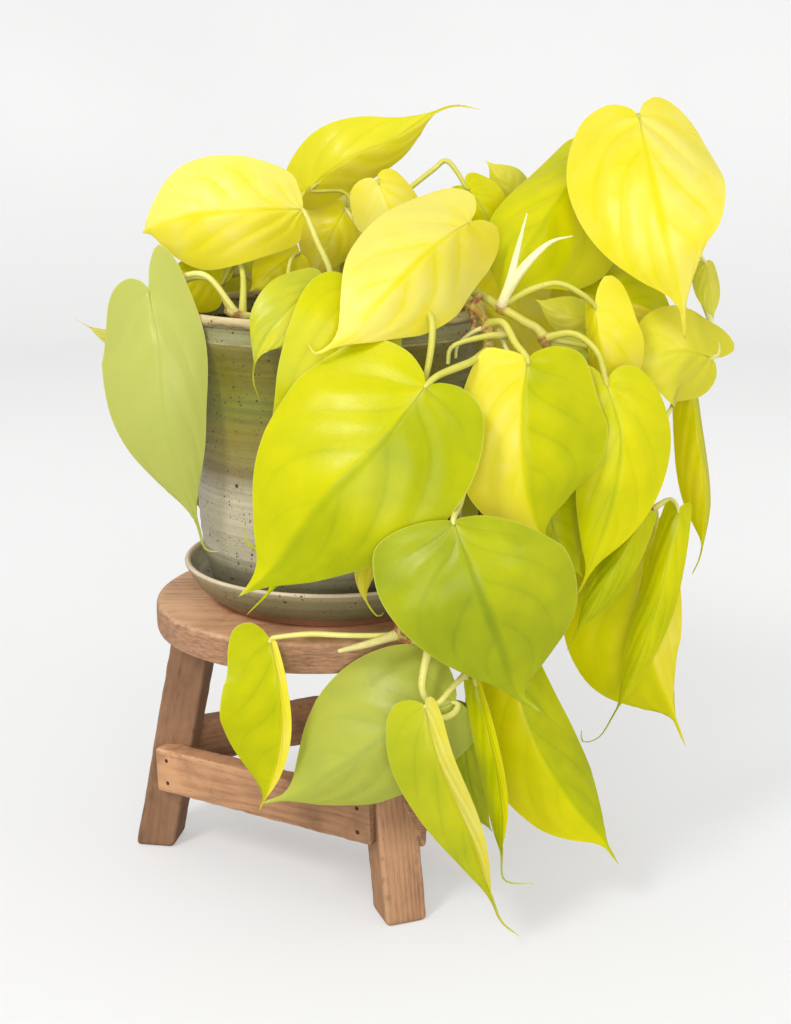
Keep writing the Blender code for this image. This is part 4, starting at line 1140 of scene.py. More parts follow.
@dataclass(frozen=True)
class Stool:
    """Round wooden top on three splayed square legs, with three boards nailed between them."""

    top_radius: float = 87.5
    top_z: float = 147.0
    top_thick: float = 16.0
    top_edge: float = 2.5
    top_steps: int = 160
    leg_side: float = 22.0
    leg_corner: float = 2.0
    leg_head: float = 66.4
    leg_foot: float = 92.5
    leg_azimuth: float = 27.6
    leg_turn: float = -6.9
    leg_gap: float = 0.3
    leg_rings: int = 84
    legs: tuple[str, ...] = ("stool_leg_front", "stool_leg_left", "stool_leg_back")
    boards: tuple[str, ...] = ("stretcher_front", "stretcher_rear", "stretcher_right")
    board_z: float = 51.0
    board_rise: float = 4.0
    board_tall: float = 25.0
    board_thick: float = 12.0
    board_out: float = 12.0
    board_lap: tuple[float, ...] = (-2.0, 7.0, 7.0)
    board_short: float = 1.0
    board_corner: float = 1.0
    board_rings: int = 96
    leg_stain: tuple[float, ...] = (0.34, 0.7, 0.5)
    board_stain: Pair = (0.0, 0.46)
    nail_radius: float = 1.2
    nail_in: float = 7.5
    nail_apart: float = 6.5
    nail_dome: float = 0.28
    top_finish: WoodFinish = WoodFinish(
        "wood_top", srgb(230, 180, 136), srgb(170, 122, 84), srgb(238, 198, 158), 0.0046, 0.5, 0.0)
    leg_finish: WoodFinish = WoodFinish(
        "wood_leg", srgb(208, 156, 112), srgb(148, 102, 68), srgb(224, 178, 134), 0.0034, 0.62, 0.3)
    nail_finish: SteelFinish = SteelFinish("nail_steel")

    def build(self, placing: Placing) -> None:
        """Make the top, the legs, the boards and the nails.

        Args:
            placing: Where the stool's axis stands.
        """
        placing.add("seat_board", self.top_skin(), self.top_finish.make(), Slot.STOOL_TOP, "stool_top")
        wood = self.leg_finish.make()
        for index, node in enumerate(self.legs):
            placing.add("worn_" + node, self.leg_skin(index), wood, Slot.STOOL_LEG, node)
        heads = []
        for index, node in enumerate(self.boards):
            placing.add("nailed_" + node, self.board_skin(index), wood, Slot.STOOL_LEG, node)
            heads += self.nail_skins(index)
        placing.add("nail_heads", joined(heads), self.nail_finish.make(), Slot.STOOL_LEG)

    def top_skin(self) -> Skin:
        """Round board: a profile with rounded edges turned about Z, its rim rubbed uneven.

        Returns:
            The skin.
        """
        inner, low = self.top_radius - self.top_edge, self.top_z - self.top_thick
        profile = [(4, self.top_z)] + arc(inner, self.top_z - self.top_edge, self.top_edge, 90, 0, 5)
        profile += arc(inner, low + self.top_edge, self.top_edge, 0, -90, 5) + [(4, low)]
        line = finely(profile, 2.4)
        rings = turned_rings(line, self.top_steps)
        near = held(1 - (self.top_radius - line[:, 0]) / 7)
        upright = held((line[:, 0] - inner) / self.top_edge)
        level = np.abs(line[:, 1] - (self.top_z - self.top_thick / 2)) / (self.top_thick / 2)
        edge = near * held(level * 2 - 1)
        dip = edge[:, None] * (0.35 + 0.35 * ripple(rings, 34, 5))
        dip = dip + 0.12 * upright[:, None] * ripple(rings, 4, 6)
        rings[..., :2] *= (1 - dip / self.top_radius)[..., None]
        return closed_skin(
            rings, (0, 0, self.top_z), (0, 0, low), grain=rings * MM + np.array([0, 0.05, -0.12]),
            edge=edge[:, None], end=(upright * 0.9)[:, None])

    def leg_frame(self, index: int) -> tuple[Array, float]:
        """Outward direction of a leg in the plane, and the turn of its section about Z."""
        azimuth = math.radians(self.leg_azimuth - 120 * index)
        return np.array([math.sin(azimuth), -math.cos(azimuth)]), azimuth + math.radians(self.leg_turn)

    def leg_radius(self, z: Array | float) -> Array | float:
        """Distance of a leg's middle line from the stool's axis at height z."""
        return self.leg_foot + (self.leg_head - self.leg_foot) * z / (self.top_z - self.top_thick)

    def leg_skin(self, index: int) -> Skin:
        """Splayed leg: a rounded square section carried up a slanting line, with rubbed edges.

        The section's scale is 1 apart from the foot, where it shrinks over 3 mm as a round does, and
        a ring of half its size closes each end.

        Args:
            index: Number of the leg.

        Returns:
            The skin.
        """
        outward, turn = self.leg_frame(index)
        head = self.top_z - self.top_thick - self.leg_gap
        section, near = bar_section(self.leg_side, self.leg_side, self.leg_corner, 7)
        z = np.concatenate([[0, 0, 0.35, 1.0, 1.9], np.linspace(3, head - 0.6, self.leg_rings), [head, head]])
        scale = np.concatenate([[0.45, 0.8, 0.9, 0.955, 0.985], np.ones(self.leg_rings), [0.97, 0.45]])
        flat = section[None] * scale[:, None, None]
        x, y = about_z(flat, turn)
        middle = outward * self.leg_radius(z)[:, None]
        level = np.broadcast_to(z[:, None], x.shape)
        rings = np.stack([x + middle[:, :1], y + middle[:, 1:], level], -1)
        edge = np.broadcast_to(near, x.shape)
        dip = edge * (0.5 + 0.5 * ripple(rings, 26, 11 + index)) * 0.4 + 0.1 * ripple(rings, 7, 21 + index)
        away = np.stack([x, y, np.zeros_like(x)], -1) / (self.leg_side / 2)
        rings = rings - away * dip[..., None]
        grain = np.stack([level, flat[..., 0], flat[..., 1]], -1) * MM
        grain = grain + np.array([0.7 * index, 0.004 * index, 0.006 * index - 0.02])
        end = (scale < 0.9).astype(float)[:, None]
        poles = [np.array([*(outward * self.leg_radius(h)), h]) for h in (0, head)]
        return closed_skin(
            rings, poles[0], poles[1], grain=grain, edge=edge, end=end, stain=self.leg_stain[index])

    def board_frame(self, index: int) -> tuple[Array, Array, Array, Array, Array]:
        """Ends of a board's middle line, and its directions along, outwards and upwards.

        Args:
            index: Number of the board.

        Returns:
            Start, end, and the three unit vectors.
        """
        reach = self.leg_radius(self.board_z)
        lapped, met = (self.leg_frame(leg)[0] * reach for leg in ((index + 1) % 3, index))
        along = unit(met - lapped)
        outside = np.array([along[1], -along[0]])
        start = lapped - along * self.board_lap[index] + outside * self.board_out
        end = met - along * self.board_short + outside * self.board_out
        rise = math.atan2(self.board_rise, float(np.linalg.norm(end - start)))
        middle = np.array([*(start + end) / 2, self.board_z])
        run = np.array([*(along * math.cos(rise)), math.sin(rise)])
        up = np.array([*(-along * math.sin(rise)), math.cos(rise)])
        half = np.linalg.norm(end - start) / 2
        return middle - run * half, middle + run * half, run, np.array([*outside, 0.0]), up

    def board_skin(self, index: int) -> Skin:
        """Board between two legs: a rounded section carried along a straight line.

        Args:
            index: Number of the board.

        Returns:
            The skin.
        """
        start, end, run, outside, up = self.board_frame(index)
        section, near = bar_section(self.board_thick, self.board_tall, self.board_corner, 6)
        length = float(np.linalg.norm(end - start))
        ends = np.array([0, 0, 0.3])
        place = np.concatenate([ends, np.linspace(0.9, length - 0.9, self.board_rings), length - ends[::-1]])
        scale = np.concatenate([[0.45, 0.93, 0.98], np.ones(self.board_rings), [0.98, 0.93, 0.45]])
        flat = section[None] * scale[:, None, None]
        rings = start + place[:, None, None] * run + flat[..., :1] * outside + flat[..., 1:] * up
        edge = np.broadcast_to(near, flat.shape[:2])
        dip = edge * (0.5 + 0.5 * ripple(rings, 22, 31 + index)) * 0.5 + 0.1 * ripple(rings, 6, 41 + index)
        away = flat[..., :1] / (self.board_thick / 2) * outside + flat[..., 1:] / (self.board_tall / 2) * up
        rings = rings - away * dip[..., None]
        level = np.broadcast_to(place[:, None], flat.shape[:2])
        grain = np.stack([level, flat[..., 1], flat[..., 0]], -1) * MM
        grain = grain + np.array([2.3 + 0.6 * index, 0.011 * index, -0.012])
        sawn = (scale < 0.95).astype(float)[:, None]
        stain = np.interp(place / length, (0, 1), self.board_stain)[:, None]
        return closed_skin(rings, start, end, grain=grain, edge=edge, end=sawn, stain=stain)

    def nail_skins(self, index: int) -> list[Skin]:
        """Domed nail heads, two near each end of a board on its outer face.

        Args:
            index: Number of the board.

        Returns:
            One skin for each nail.
        """
        start, end, run, outside, up = self.board_frame(index)
        face = outside * (self.board_thick / 2)
        ball = ball_rings(4, 10)
        frame_axes = np.stack([run, up, outside])
        flattened = ball * np.array([1, 1, self.nail_dome]) * self.nail_radius
        skins = []
        for base, way in ((start, 1), (end, -1)):
            for side in (-1, 1):
                spot = base + run * way * self.nail_in + up * side * self.nail_apart + face
                pole = outside * self.nail_dome * self.nail_radius
                skins.append(closed_skin(flattened @ frame_axes + spot, spot + pole, spot - pole))
        return skins


@dataclass(frozen=True)
class Crockery:
    """Thrown pot with a round lip and a cove below it, standing in a flared saucer."""

    x: float = 6.3
    base_z: float = 147.0
    steps: int = 176
    saucer_rim: float = 78.0
    saucer_rim_z: float = 22.0
    saucer_wall: float = 3.0
    saucer_floor: float = 3.7
    saucer_foot: float = 0.3
    saucer_inside: Profile = ((52, 3.7), (57, 3.9), (61, 5.6), (66, 10), (70, 14.2))
    saucer_outside: Profile = (
        (75.6, 15.6), (72.6, 11.2), (69.6, 7.4), (66, 4.2), (62.4, 1.7), (61.0, 0.4), (59, 0.3))
    pot_rim_z: float = 155.0
    pot_floor: float = 12.0
    pot_foot: float = 4.3
    throw_pitch: float = 5.5
    throw_depth: float = 0.16
    pot_inside: Profile = (
        (40, 12), (53, 12), (57, 14), (63, 36), (69, 100), (75, 147))
    lip_inside: Profile = ((75.7, 151.5), (76.1, 153.6), (76.9, 154.7))
    lip_radius: float = 81.3
    lip_tall: float = 6.0
    cove: Profile = ((79.9, 148.6), (79.5, 147.6), (79.5, 145.8), (79.9, 144.8))
    body: Profile = (
        (80.6, 143.2), (80.3, 141.2), (79.0, 132), (77.6, 122), (74, 98), (70.6, 66), (68.5, 36), (64, 14),
        (60.2, 7.2), (56.6, 4.7), (54.6, 4.3))
    saucer_finish: GlazeFinish = GlazeFinish(
        "glaze_saucer", 0.147, 0.170,
        ((0.147, srgb(104, 92, 66)), (0.156, srgb(118, 108, 78)), (0.164, srgb(136, 126, 94)),
         (0.1672, srgb(156, 142, 110)), (0.1683, srgb(226, 206, 178)), (0.170, srgb(232, 214, 188))),
        bare=0.1513, smear=0.01)
    pot_finish: GlazeFinish = GlazeFinish(
        "glaze_pot", 0.147, 0.303,
        ((0.151, srgb(104, 100, 78)), (0.170, srgb(122, 116, 92)), (0.178, srgb(164, 156, 130)),
         (0.186, srgb(188, 178, 148)), (0.211, srgb(198, 188, 158)), (0.218, srgb(178, 168, 138)),
         (0.2245, srgb(136, 120, 78)), (0.229, srgb(146, 134, 76)), (0.2345, srgb(142, 132, 66)),
         (0.246, srgb(142, 128, 52)), (0.2575, srgb(122, 124, 48)), (0.275, srgb(116, 108, 28)),
         (0.286, srgb(112, 104, 38)), (0.2895, srgb(132, 122, 62)), (0.2915, srgb(146, 144, 102)),
         (0.296, srgb(152, 148, 104)), (0.2975, srgb(120, 102, 66)), (0.299, srgb(206, 184, 134)),
         (0.301, srgb(216, 196, 148))),
        bare=0.1516, smear=0.035)

    def build(self, placing: Placing) -> None:
        """Make the saucer and the pot.

        Args:
            placing: Where the stool's axis stands.
        """
        placing.add("glazed_saucer", self.saucer_skin(), self.saucer_finish.make(), Slot.SAUCER, "saucer")
        placing.add("thrown_pot", self.pot_skin(), self.pot_finish.make(), Slot.POT, "pot")

    def turned_skin(
        self, line: Array, edge: Array, top: float, bottom: float, seed: int, inner: Array | float = 0,
    ) -> Skin:
        """Turn a profile about the pot's axis, with the small unevenness of a hand-thrown wall.

        Args:
            line: Radii and heights.
            edge: Nearness of each to an edge.
            top: Height of the first pole.
            bottom: Height of the last pole.
            seed: Seed of the unevenness.
            inner: 1 on the inside, for a paler glaze that is painted light on the shaded well.

        Returns:
            The skin.
        """
        rings = turned_rings(line, self.steps)
        rings[..., :2] *= 1 + 0.0016 * ripple(rings * np.array([1, 1, 0.4]), 120, seed)[..., None]
        shift = np.array([self.x, 0, self.base_z])
        return closed_skin(
            rings + shift, shift + (0, 0, top), shift + (0, 0, bottom), edge=edge[:, None], inner=inner)

    def saucer_skin(self) -> Skin:
        """Saucer: a smooth inside, a round rim and a flared outside down to the foot.

        Returns:
            The skin.
        """
        rim = self.saucer_wall / 2
        inside = spline(self.saucer_inside, np.linspace(0, 1, 24))
        outside = spline(self.saucer_outside, np.linspace(0, 1, 36))
        lip = arc(self.saucer_rim - rim, self.saucer_rim_z - rim, rim, 150, -20, 8)
        floor, foot = self.saucer_floor, self.saucer_foot
        well = np.vstack([finely([(4, floor), (46, floor)], 4), inside])
        line = np.vstack([well, lip, outside, finely([(56, foot), (4, foot)], 5)])
        edge = 0.8 * bell(line[:, 1] - self.saucer_rim_z, 1.6)
        # The well is marked for a paler glaze, which is painted light.
        inner = (np.arange(len(line)) < len(well)).astype(float)[:, None]
        return self.turned_skin(line, edge, floor, foot, 3, inner)

    def pot_skin(self) -> Skin:
        """Pot: the inside wall up, the lip, the cove and the outside down to the foot.

        The outside carries throwing lines: its radius grows by a sine of the height, of the throwing
        pitch and depth, whose place drifts, and by one ridge at 67 mm, less a groove at 64 mm.

        Returns:
            The skin.
        """
        lip = self.lip_tall / 2
        crest = arc(self.lip_radius - lip, self.pot_rim_z - lip, lip, 75, -62, 12)
        floor = finely([(4, self.pot_floor), (38, self.pot_floor)], 5)
        inside = np.vstack([floor, finely(self.pot_inside, 3), self.lip_inside])
        cove = spline(self.cove, np.linspace(0, 1, 8))
        outside = spline(self.body, np.linspace(0, 1, 230))
        z = outside[:, 1]
        lines = self.throw_depth * np.sin(2 * math.pi * z / self.throw_pitch + 1.8 * np.sin(z / 17))
        ridge = 0.45 * bell(z - 67, 1.1) - 0.3 * bell(z - 64, 1.6)
        outside[:, 0] += (lines + ridge) * held((z - 14) / 20) * held((140 - z) / 8)
        line = np.vstack([inside, crest, cove, outside, finely([(50, self.pot_foot), (4, self.pot_foot)], 5)])
        crown = bell(line[:, 1] - self.pot_rim_z, 1.5)
        brow = bell(line[:, 1] - 142.4, 1.0) * (line[:, 0] > 79)
        return self.turned_skin(
            line, np.maximum(crown * 0.75, brow * 0.7), self.pot_floor, self.pot_foot, 8)


@dataclass(frozen=True)
class Soil:
    """Potting soil in the pot, mounded in the middle, with loose crumbs, perlite and bark on it."""

    x: float = 6.3
    base_z: float = 147.0
    top: Profile = ((0, 143), (45, 143.5), (66, 145), (71.5, 144.5))
    side: Profile = (
        (72.6, 138), (68.7, 100), (62.7, 36), (56.7, 14.4), (53, 12.3), (4, 12.3))
    radius: float = 71.5
    centre_z: float = 142.2
    floor_z: float = 12.3
    strewn_radius: float = 69.0
    crumbs: int = 900
    perlite: int = 110
    bark: int = 70
    finish: SoilFinish = SoilFinish("soil_dark")
    crumb_finish: GritFinish = GritFinish("soil_crumbs", srgb(96, 66, 42), srgb(34, 22, 15))
    perlite_finish: GritFinish = GritFinish("soil_perlite", srgb(238, 234, 222), srgb(196, 188, 170), 0.85)
    bark_finish: GritFinish = GritFinish("soil_bark", srgb(150, 104, 66), srgb(74, 44, 26))

    def build(self, placing: Placing) -> None:
        """Make the soil and what lies loose on it.

        Args:
            placing: Where the stool's axis stands.
        """
        placing.add("soil_bed", self.bed_skin(), self.finish.make(), Slot.SOIL, "soil")
        strewn = (
            ("loose_crumbs", self.crumbs, (0.7, 1.9), self.crumb_finish, 51),
            ("loose_perlite", self.perlite, (0.8, 1.8), self.perlite_finish, 52),
            ("loose_bark", self.bark, (1.2, 2.4), self.bark_finish, 53))
        for name, count, sizes, finish, seed in strewn:
            placing.add(name, self.strewn_skin(count, sizes, seed), finish.make(), Slot.SOIL)

    def level(self, radius: Array) -> Array:
        """Height of the soil above the stool top at a distance from the pot's axis."""
        return np.interp(radius, [r for r, _ in self.top], [z for _, z in self.top])

    def bed_skin(self) -> Skin:
        """Soil body: its top is raised and lowered by ripples of 14 mm and 5 mm, apart from the edge.

        Returns:
            The skin.
        """
        radii = np.linspace(2, self.radius, 58)
        line = np.vstack([np.stack([radii, self.level(radii)], -1), self.side])
        rings = turned_rings(line, 150)
        calm = np.concatenate([held((self.radius + 0.5 - radii) / 5), np.zeros(len(self.side))])[:, None]
        rings[..., 2] += calm * (0.7 * ripple(rings, 14, 61) + 0.45 * ripple(rings, 5, 62) - 0.3)
        shift = np.array([self.x, 0, self.base_z])
        return closed_skin(rings + shift, shift + (0, 0, self.centre_z), shift + (0, 0, self.floor_z))

    def strewn_skin(self, count: int, sizes: Pair, seed: int) -> Skin:
        """Grains half sunk in the soil, spread evenly over its top.

        Args:
            count: How many grains.
            sizes: Least and greatest radius.
            seed: Seed of the draw.

        Returns:
            The skin of all the grains.
        """
        draw = np.random.default_rng(seed)
        radius = self.strewn_radius * np.sqrt(draw.uniform(0, 1, count))
        turn = draw.uniform(0, 2 * math.pi, count)
        size = draw.uniform(*sizes, count)
        x, y = self.x + radius * np.cos(turn), radius * np.sin(turn)
        z = self.base_z + self.level(radius) + size * draw.uniform(-0.2, 0.35, count)
        return lumps(np.stack([x, y, z], -1), size, seed, tone=draw.uniform(0, 1, count))


@dataclass(frozen=True)
class Leaf:
    """One blade. The halves are seen from the face side with the tip down.

    hue runs from 0, pale yellow, to 1, green, and may be one number for each half; dust is the share
    of a greyish bloom. left and right are (half width, angle): a positive angle lifts the half towards
    the viewer. lobe, belly and arch are the depth of the lobes and the place of the widest point in
    lengths, and how far a half turns back over its width in degrees. shoulder rounds off the base: it
    moves the margin on by that many lengths times the square of the way out. drip is the share of the
    length that is a thread-like tip.
    """

    hue: Halves
    rib: tuple[Point, ...]
    left: Pair
    right: Pair
    lobe: Halves = 0.08
    belly: Halves = 0.3
    arch: Halves = 25
    slant: float = 0
    face: Pair = (0, 14)
    dust: float = 0
    shoulder: Halves = 0
    drip: float = 0


@dataclass(frozen=True)
class Stem:
    """A round stretch of stem or leaf stalk through points, thinning from the first end to the last.

    bulge is the share by which it is thicker half way, blanch the share of a creamy white, and dry
    the share of a dead brown.
    """

    points: tuple[Point, ...]
    thick: Pair
    bulge: float = 0
    blanch: float = 0
    dry: float = 0


@dataclass(frozen=True)
class Hanging:
    """A leaf on the far side, hung outside the pot from its own stalk: place about the pot and size."""

    azimuth: float
    radius: float
    z: float
    length: float
    sway: float
    node: Point
    hue: float


@dataclass(frozen=True)
class BladeForm:
    """How a blade becomes a thin closed skin.

    margin is the half outline, as half widths outwards and lengths along, where a length below 0 is
    the lobe beside the stalk and -1 the lobe's own depth.
    """

    margin: Profile = (
        (0.00, 0.00), (0.10, -0.55), (0.34, -1.00), (0.66, -0.60), (0.90, 0.09), (1.00, 0.27),
        (0.94, 0.45), (0.74, 0.62), (0.42, 0.765), (0.15, 0.865), (0.045, 0.935), (0.00, 1.00))
    margin_belly: float = 0.27
    thread: float = 0.02
    sweep: float = 1.6
    slant_fade: float = 2.5
    row_gap: float = 2.3
    column_gap: float = 3.6
    thick: float = 0.6
    vein_spacing: float = 0.24
    vein_rise: float = 0.42
    vein_curve: float = 0.22
    swell: float = 0.72
    crease: float = 0.45
    crease_wide: float = 1.4
    rib_tall: float = 0.9
    rib_wide: float = 1.3
    ripple_long: float = 45.0
    wave: float = 0.9

    def half(self, leaf: Leaf, side: int, along: Array, way: Array, rib: tuple[Array, Array, float]) -> Array:
        """Middle surface of one half of a blade.

        At a share `way` of the distance out, a row lies between its place on the midrib and its place
        on the margin, by way to the power `sweep`. The half leaves the midrib at its own angle and turns
        back evenly, so it lies on a round arc: sideways is the difference of the sines of the angle
        divided by the bend, and lift the difference of the cosines.

        Args:
            leaf: The blade.
            side: -1 for the left half and 1 for the right one.
            along: Rows from 0 to 1, r numbers.
            way: Columns from 0 on the midrib to 1 on the margin, c numbers.
            rib: Points, tangents and length of the midrib.

        Returns:
            Points, r by c by 3.
        """
        pick = 0 if side < 0 else 1
        width, angle = (leaf.left, leaf.right)[pick]
        lobe, belly, arch = both(leaf.lobe)[pick], both(leaf.belly)[pick], both(leaf.arch)[pick]
        places, tangents, length = rib
        margin = np.array(self.margin)
        back = margin[:, 1] < 0
        margin[back, 1] = margin[back, 1] * lobe + both(leaf.shoulder)[pick] * margin[back, 0] ** 2
        margin[~back, 1] = margin[~back, 1] ** (math.log(belly) / math.log(self.margin_belly))
        margin[~back, 1] *= 1 - leaf.drip
        thread = [(self.thread, 1 - leaf.drip / 2)] if leaf.drip else []
        margin = np.array([*margin[:-1], *thread, (0, 1)])
        edge = along_curve(even_curve(margin * (width, length))[0], along) / (width, length)
        out = way * edge[:, :1] * width
        blend = way[None, :] ** self.sweep
        v = (1 - blend) * along[:, None] + blend * edge[:, 1:]
        slide = math.tan(math.radians(leaf.slant)) * side * out / length
        v = v + slide * held((1 - v) * self.slant_fade)
        run = unit(along_curve(tangents, v))
        spot = along_curve(places, v) + run * (np.minimum(v, 0) * length)[..., None]
        face = direction(*leaf.face)
        normal = unit(face - run * (run @ face)[..., None])
        start, bend = math.radians(angle), math.radians(arch) / width
        sideways = (math.sin(start) - np.sin(start - bend * out)) / bend
        lift = (np.cos(start - bend * out) - math.cos(start)) / bend
        return spot + np.cross(normal, run) * (side * sideways)[..., None] + normal * lift[..., None]

    def turns(self, along: Array, way: Array, seed: int) -> Array:
        """Count of side veins passed, whole numbers on the veins.

        It is the place along less shares of the way out and of its square, over the spacing, so the
        veins fan out of the base and sweep towards the tip; each half has its own start and its own
        slow drift, which keeps the veins from being even.

        Args:
            along: Rows from 0 to 1, r by 1.
            way: Signed columns from -1 to 1, 1 by c.
            seed: Seed of the leaf.

        Returns:
            The count, r by c.
        """
        far = np.abs(way)
        draw = np.random.default_rng(seed + 7000).uniform(-1, 1, (2, 3))
        start, drift, phase = np.where(way[None] < 0, draw[0][:, None, None], draw[1][:, None, None])
        even = (along - self.vein_rise * far - self.vein_curve * far ** 2) / self.vein_spacing
        return even + 0.35 * start + 0.3 * drift * np.sin(6 * along + 2.5 * far + 3 * phase)

    def relief(self, leaf: Leaf, along: Array, way: Array, middle: Array, seed: int) -> Array:
        """How far the middle surface moves along its normal.

        Between two side veins the blade swells by `swell` as a cosine does, times a random share that
        is the vein's own and is read in a straight line between two veins; the midrib is sunk by
        `crease` over a narrow bell; the margin waves by `wave` times the cube of the way out; and a long
        ripple runs through the whole blade.

        Args:
            leaf: The blade.
            along: Rows from 0 to 1, r by 1.
            way: Signed columns from -1 to 1, 1 by c.
            middle: Middle surface, r by c by 3.
            seed: Seed of the leaf's own wave.

        Returns:
            Millimetres towards the face side, r by c.
        """
        far = np.abs(way)
        wide = np.where(way < 0, leaf.left[0], leaf.right[0])
        size = np.minimum(1.0, wide / 34) * (1 - 0.7 * leaf.dust)
        fade = held((0.97 - far) * 2.6) * held((0.92 - along) * 2.6) * held(far * 5)
        turns = self.turns(along, way, seed)
        marks = np.arange(-6, 12)
        strong = np.random.default_rng(seed + 9000).uniform(0.25, 1.2, len(marks))
        arch = -np.cos(2 * math.pi * turns) / 2 * np.interp(turns, marks, strong)
        swell = self.swell * size ** 1.5 * arch * fade * held(along * 8)
        crease = -self.crease * bell(far * wide, self.crease_wide) * held((1 - along) * 4)
        phase = np.random.default_rng(seed).uniform(0, 2 * math.pi, 2)
        wave = np.where(way < 0, np.sin(10.5 * along + phase[0]), np.sin(9.2 * along + phase[1]))
        calm = held(along * 5) * held((1 - along) * 3)
        uneven = self.wave * wave * far ** 3 + 0.5 * ripple(middle, self.ripple_long, seed) * far
        return swell + crease + size * calm * uneven

    def skin(self, leaf: Leaf, seed: int) -> Skin:
        """Closed blade: rings run across the face side and back across the underside.

        The wall is `thick` on the midrib and less than half of that on the margin, and the midrib
        stands out below, most near the stalk.

        Args:
            leaf: The blade.
            seed: Seed of its veins and waves.

        Returns:
            The skin.
        """
        rib = even_curve(leaf.rib)
        rows = max(22, round(rib[2] / self.row_gap))
        columns = max(5, round(max(leaf.left[0], leaf.right[0]) / self.column_gap))
        along = np.linspace(0, 1, rows + 1)
        way = np.concatenate([[0.045], np.linspace(0, 0.985, columns + 1)[1:], [1.0]])
        left, right = (self.half(leaf, side, along, way, rib) for side in (-1, 1))
        middle = along_curve(rib[0], along)[:, None, :]
        grid = np.concatenate([left[:, ::-1], middle, right], axis=1)
        signed = np.concatenate([-way[::-1], [0.0], way])[None, :]
        normal = unit(np.cross(np.gradient(grid, axis=1), np.gradient(grid, axis=0)))
        normal = normal * np.sign((normal @ direction(*leaf.face)).mean())
        grid = grid + normal * self.relief(leaf, along[:, None], signed, grid, seed)[..., None]
        wide = np.where(signed < 0, leaf.left[0], leaf.right[0])
        half = self.thick / 2 * (1 - 0.7 * signed ** 2) * np.ones_like(along)[:, None]
        rib_below = self.rib_tall * bell(np.abs(signed) * wide, self.rib_wide)
        rib_below = rib_below * held(1 - along)[:, None] ** 0.7
        top = grid + normal * half[..., None]
        bottom = grid - normal * (half + rib_below)[..., None]
        rings = np.concatenate([top, bottom[:, ::-1]], axis=1)[1:-1]
        across = np.concatenate([signed, signed[:, ::-1]], axis=1) / 2 + 0.5
        uv = np.stack(np.broadcast_arrays(across, along[1:-1, None]), -1)
        under = np.repeat([0.0, 1.0], signed.shape[1])[None, :]
        hue = np.interp(across, (0.47, 0.53), both(leaf.hue))
        turns = np.concatenate([self.turns(along[1:-1, None], signed, seed)] * 2, axis=1)
        turns[:, signed.shape[1]:] = turns[:, signed.shape[1] - 1::-1]
        return closed_skin(
            rings, np.array(leaf.rib[0]), np.array(leaf.rib[-1]), uv, hue=hue, under=under, dust=leaf.dust,
            turns=turns)


@dataclass(frozen=True)
class StalkForm:
    """How stems and leaf stalks become round skins, with swollen joints and sheathed stalk feet."""

    sides: int = 14
    gap: float = 1.8
    joint_swell: float = 0.34
    joint_long: float = 2.4
    sheath_swell: float = 0.45
    sheath_long: float = 5.0
    taper: float = 0.55
    taper_long: float = 4.0
    joint_reach: float = 6.0
    scar_wide: float = 1.5
    foot_scar: Pair = (0.55, 3.0)
    soil_z: float = 284.0

    def skin(self, stem: Stem, joints: Array, bases: Array, seed: int) -> Skin:
        """Round skin along a stem.

        Its radius runs evenly between the two ends. At each joint it swells by a bell curve; a stalk,
        which has no joints, is swollen at its foot by a share that dies away, and where it
        meets the base of a blade it thins and ends.

        Args:
            stem: The stem.
            joints: Distances along it of its joints.
            bases: The blades' bases.
            seed: Seed of its tint.

        Returns:
            The skin, with a scar value that is 1 on the joints and in the soil.
        """
        length = even_curve(stem.points)[2]
        middle, _, _ = even_curve(stem.points, max(8, round(length / self.gap)))
        s = np.linspace(0, length, len(middle))
        radius = np.interp(s, (0, length), stem.thick) * (1 + stem.bulge * np.sin(math.pi * s / length))
        if not len(joints):
            away = np.linalg.norm(middle[:, None] - bases[None], axis=-1).min(-1)
            away[: len(middle) // 2] = np.inf
            if away.min() < self.gap:
                keep = min(int(away.argmin()) + 2, len(middle))
                middle, s = middle[:keep], s[:keep]
                radius = radius[:keep] * np.interp(s[-1] - s, (0, self.taper_long), (self.taper, 1))
        off = s[:, None] - joints[None, :]
        bells = bell(off, self.joint_long).sum(-1)
        if len(joints):
            radius = radius * (1 + self.joint_swell * np.minimum(bells, 1.3))
            sunk = held(np.exp(-(middle[:, 2] - self.soil_z) / 9))
            scar = np.minimum(bell(off - 1.2, self.scar_wide).sum(-1) + sunk, 1)
        else:
            radius = radius * (1 + self.sheath_swell * np.exp(-s / self.sheath_long))
            scar = self.foot_scar[0] * np.exp(-s / self.foot_scar[1])
        draw = np.random.default_rng(seed)
        radius = radius * (1 + 0.05 * np.sin(s / draw.uniform(4, 8) + draw.uniform(0, 6)))
        rings = tube_rings(middle, radius, self.sides)
        run = unit(middle[-1] - middle[-2])
        turn = np.abs(np.linspace(0, 2, self.sides, endpoint=False) - 1)[None, :]
        uv = np.stack(np.broadcast_arrays(turn, s[:, None] / 10), -1)
        end = middle[-1] + run * radius[-1] * 0.6
        return closed_skin(
            rings, middle[0], end, uv, hue=draw.uniform(0.3, 1.0), scar=np.maximum(scar, stem.dry)[:, None],
            blanch=stem.blanch)

    def joints_on(self, stem: Stem, others: Sequence[Stem]) -> Array:
        """Distances along a stem where other stems leave it, within the reach of a joint.

        Args:
            stem: The stem.
            others: The stems that may leave it.

        Returns:
            The distances.
        """
        places, _, length = even_curve(stem.points)
        found = []
        for other in others:
            away = np.linalg.norm(places - np.array(other.points[0]), axis=-1)
            if away.min() < self.joint_reach and other is not stem:
                found.append(length * away.argmin() / (len(places) - 1))
        return np.array(found)


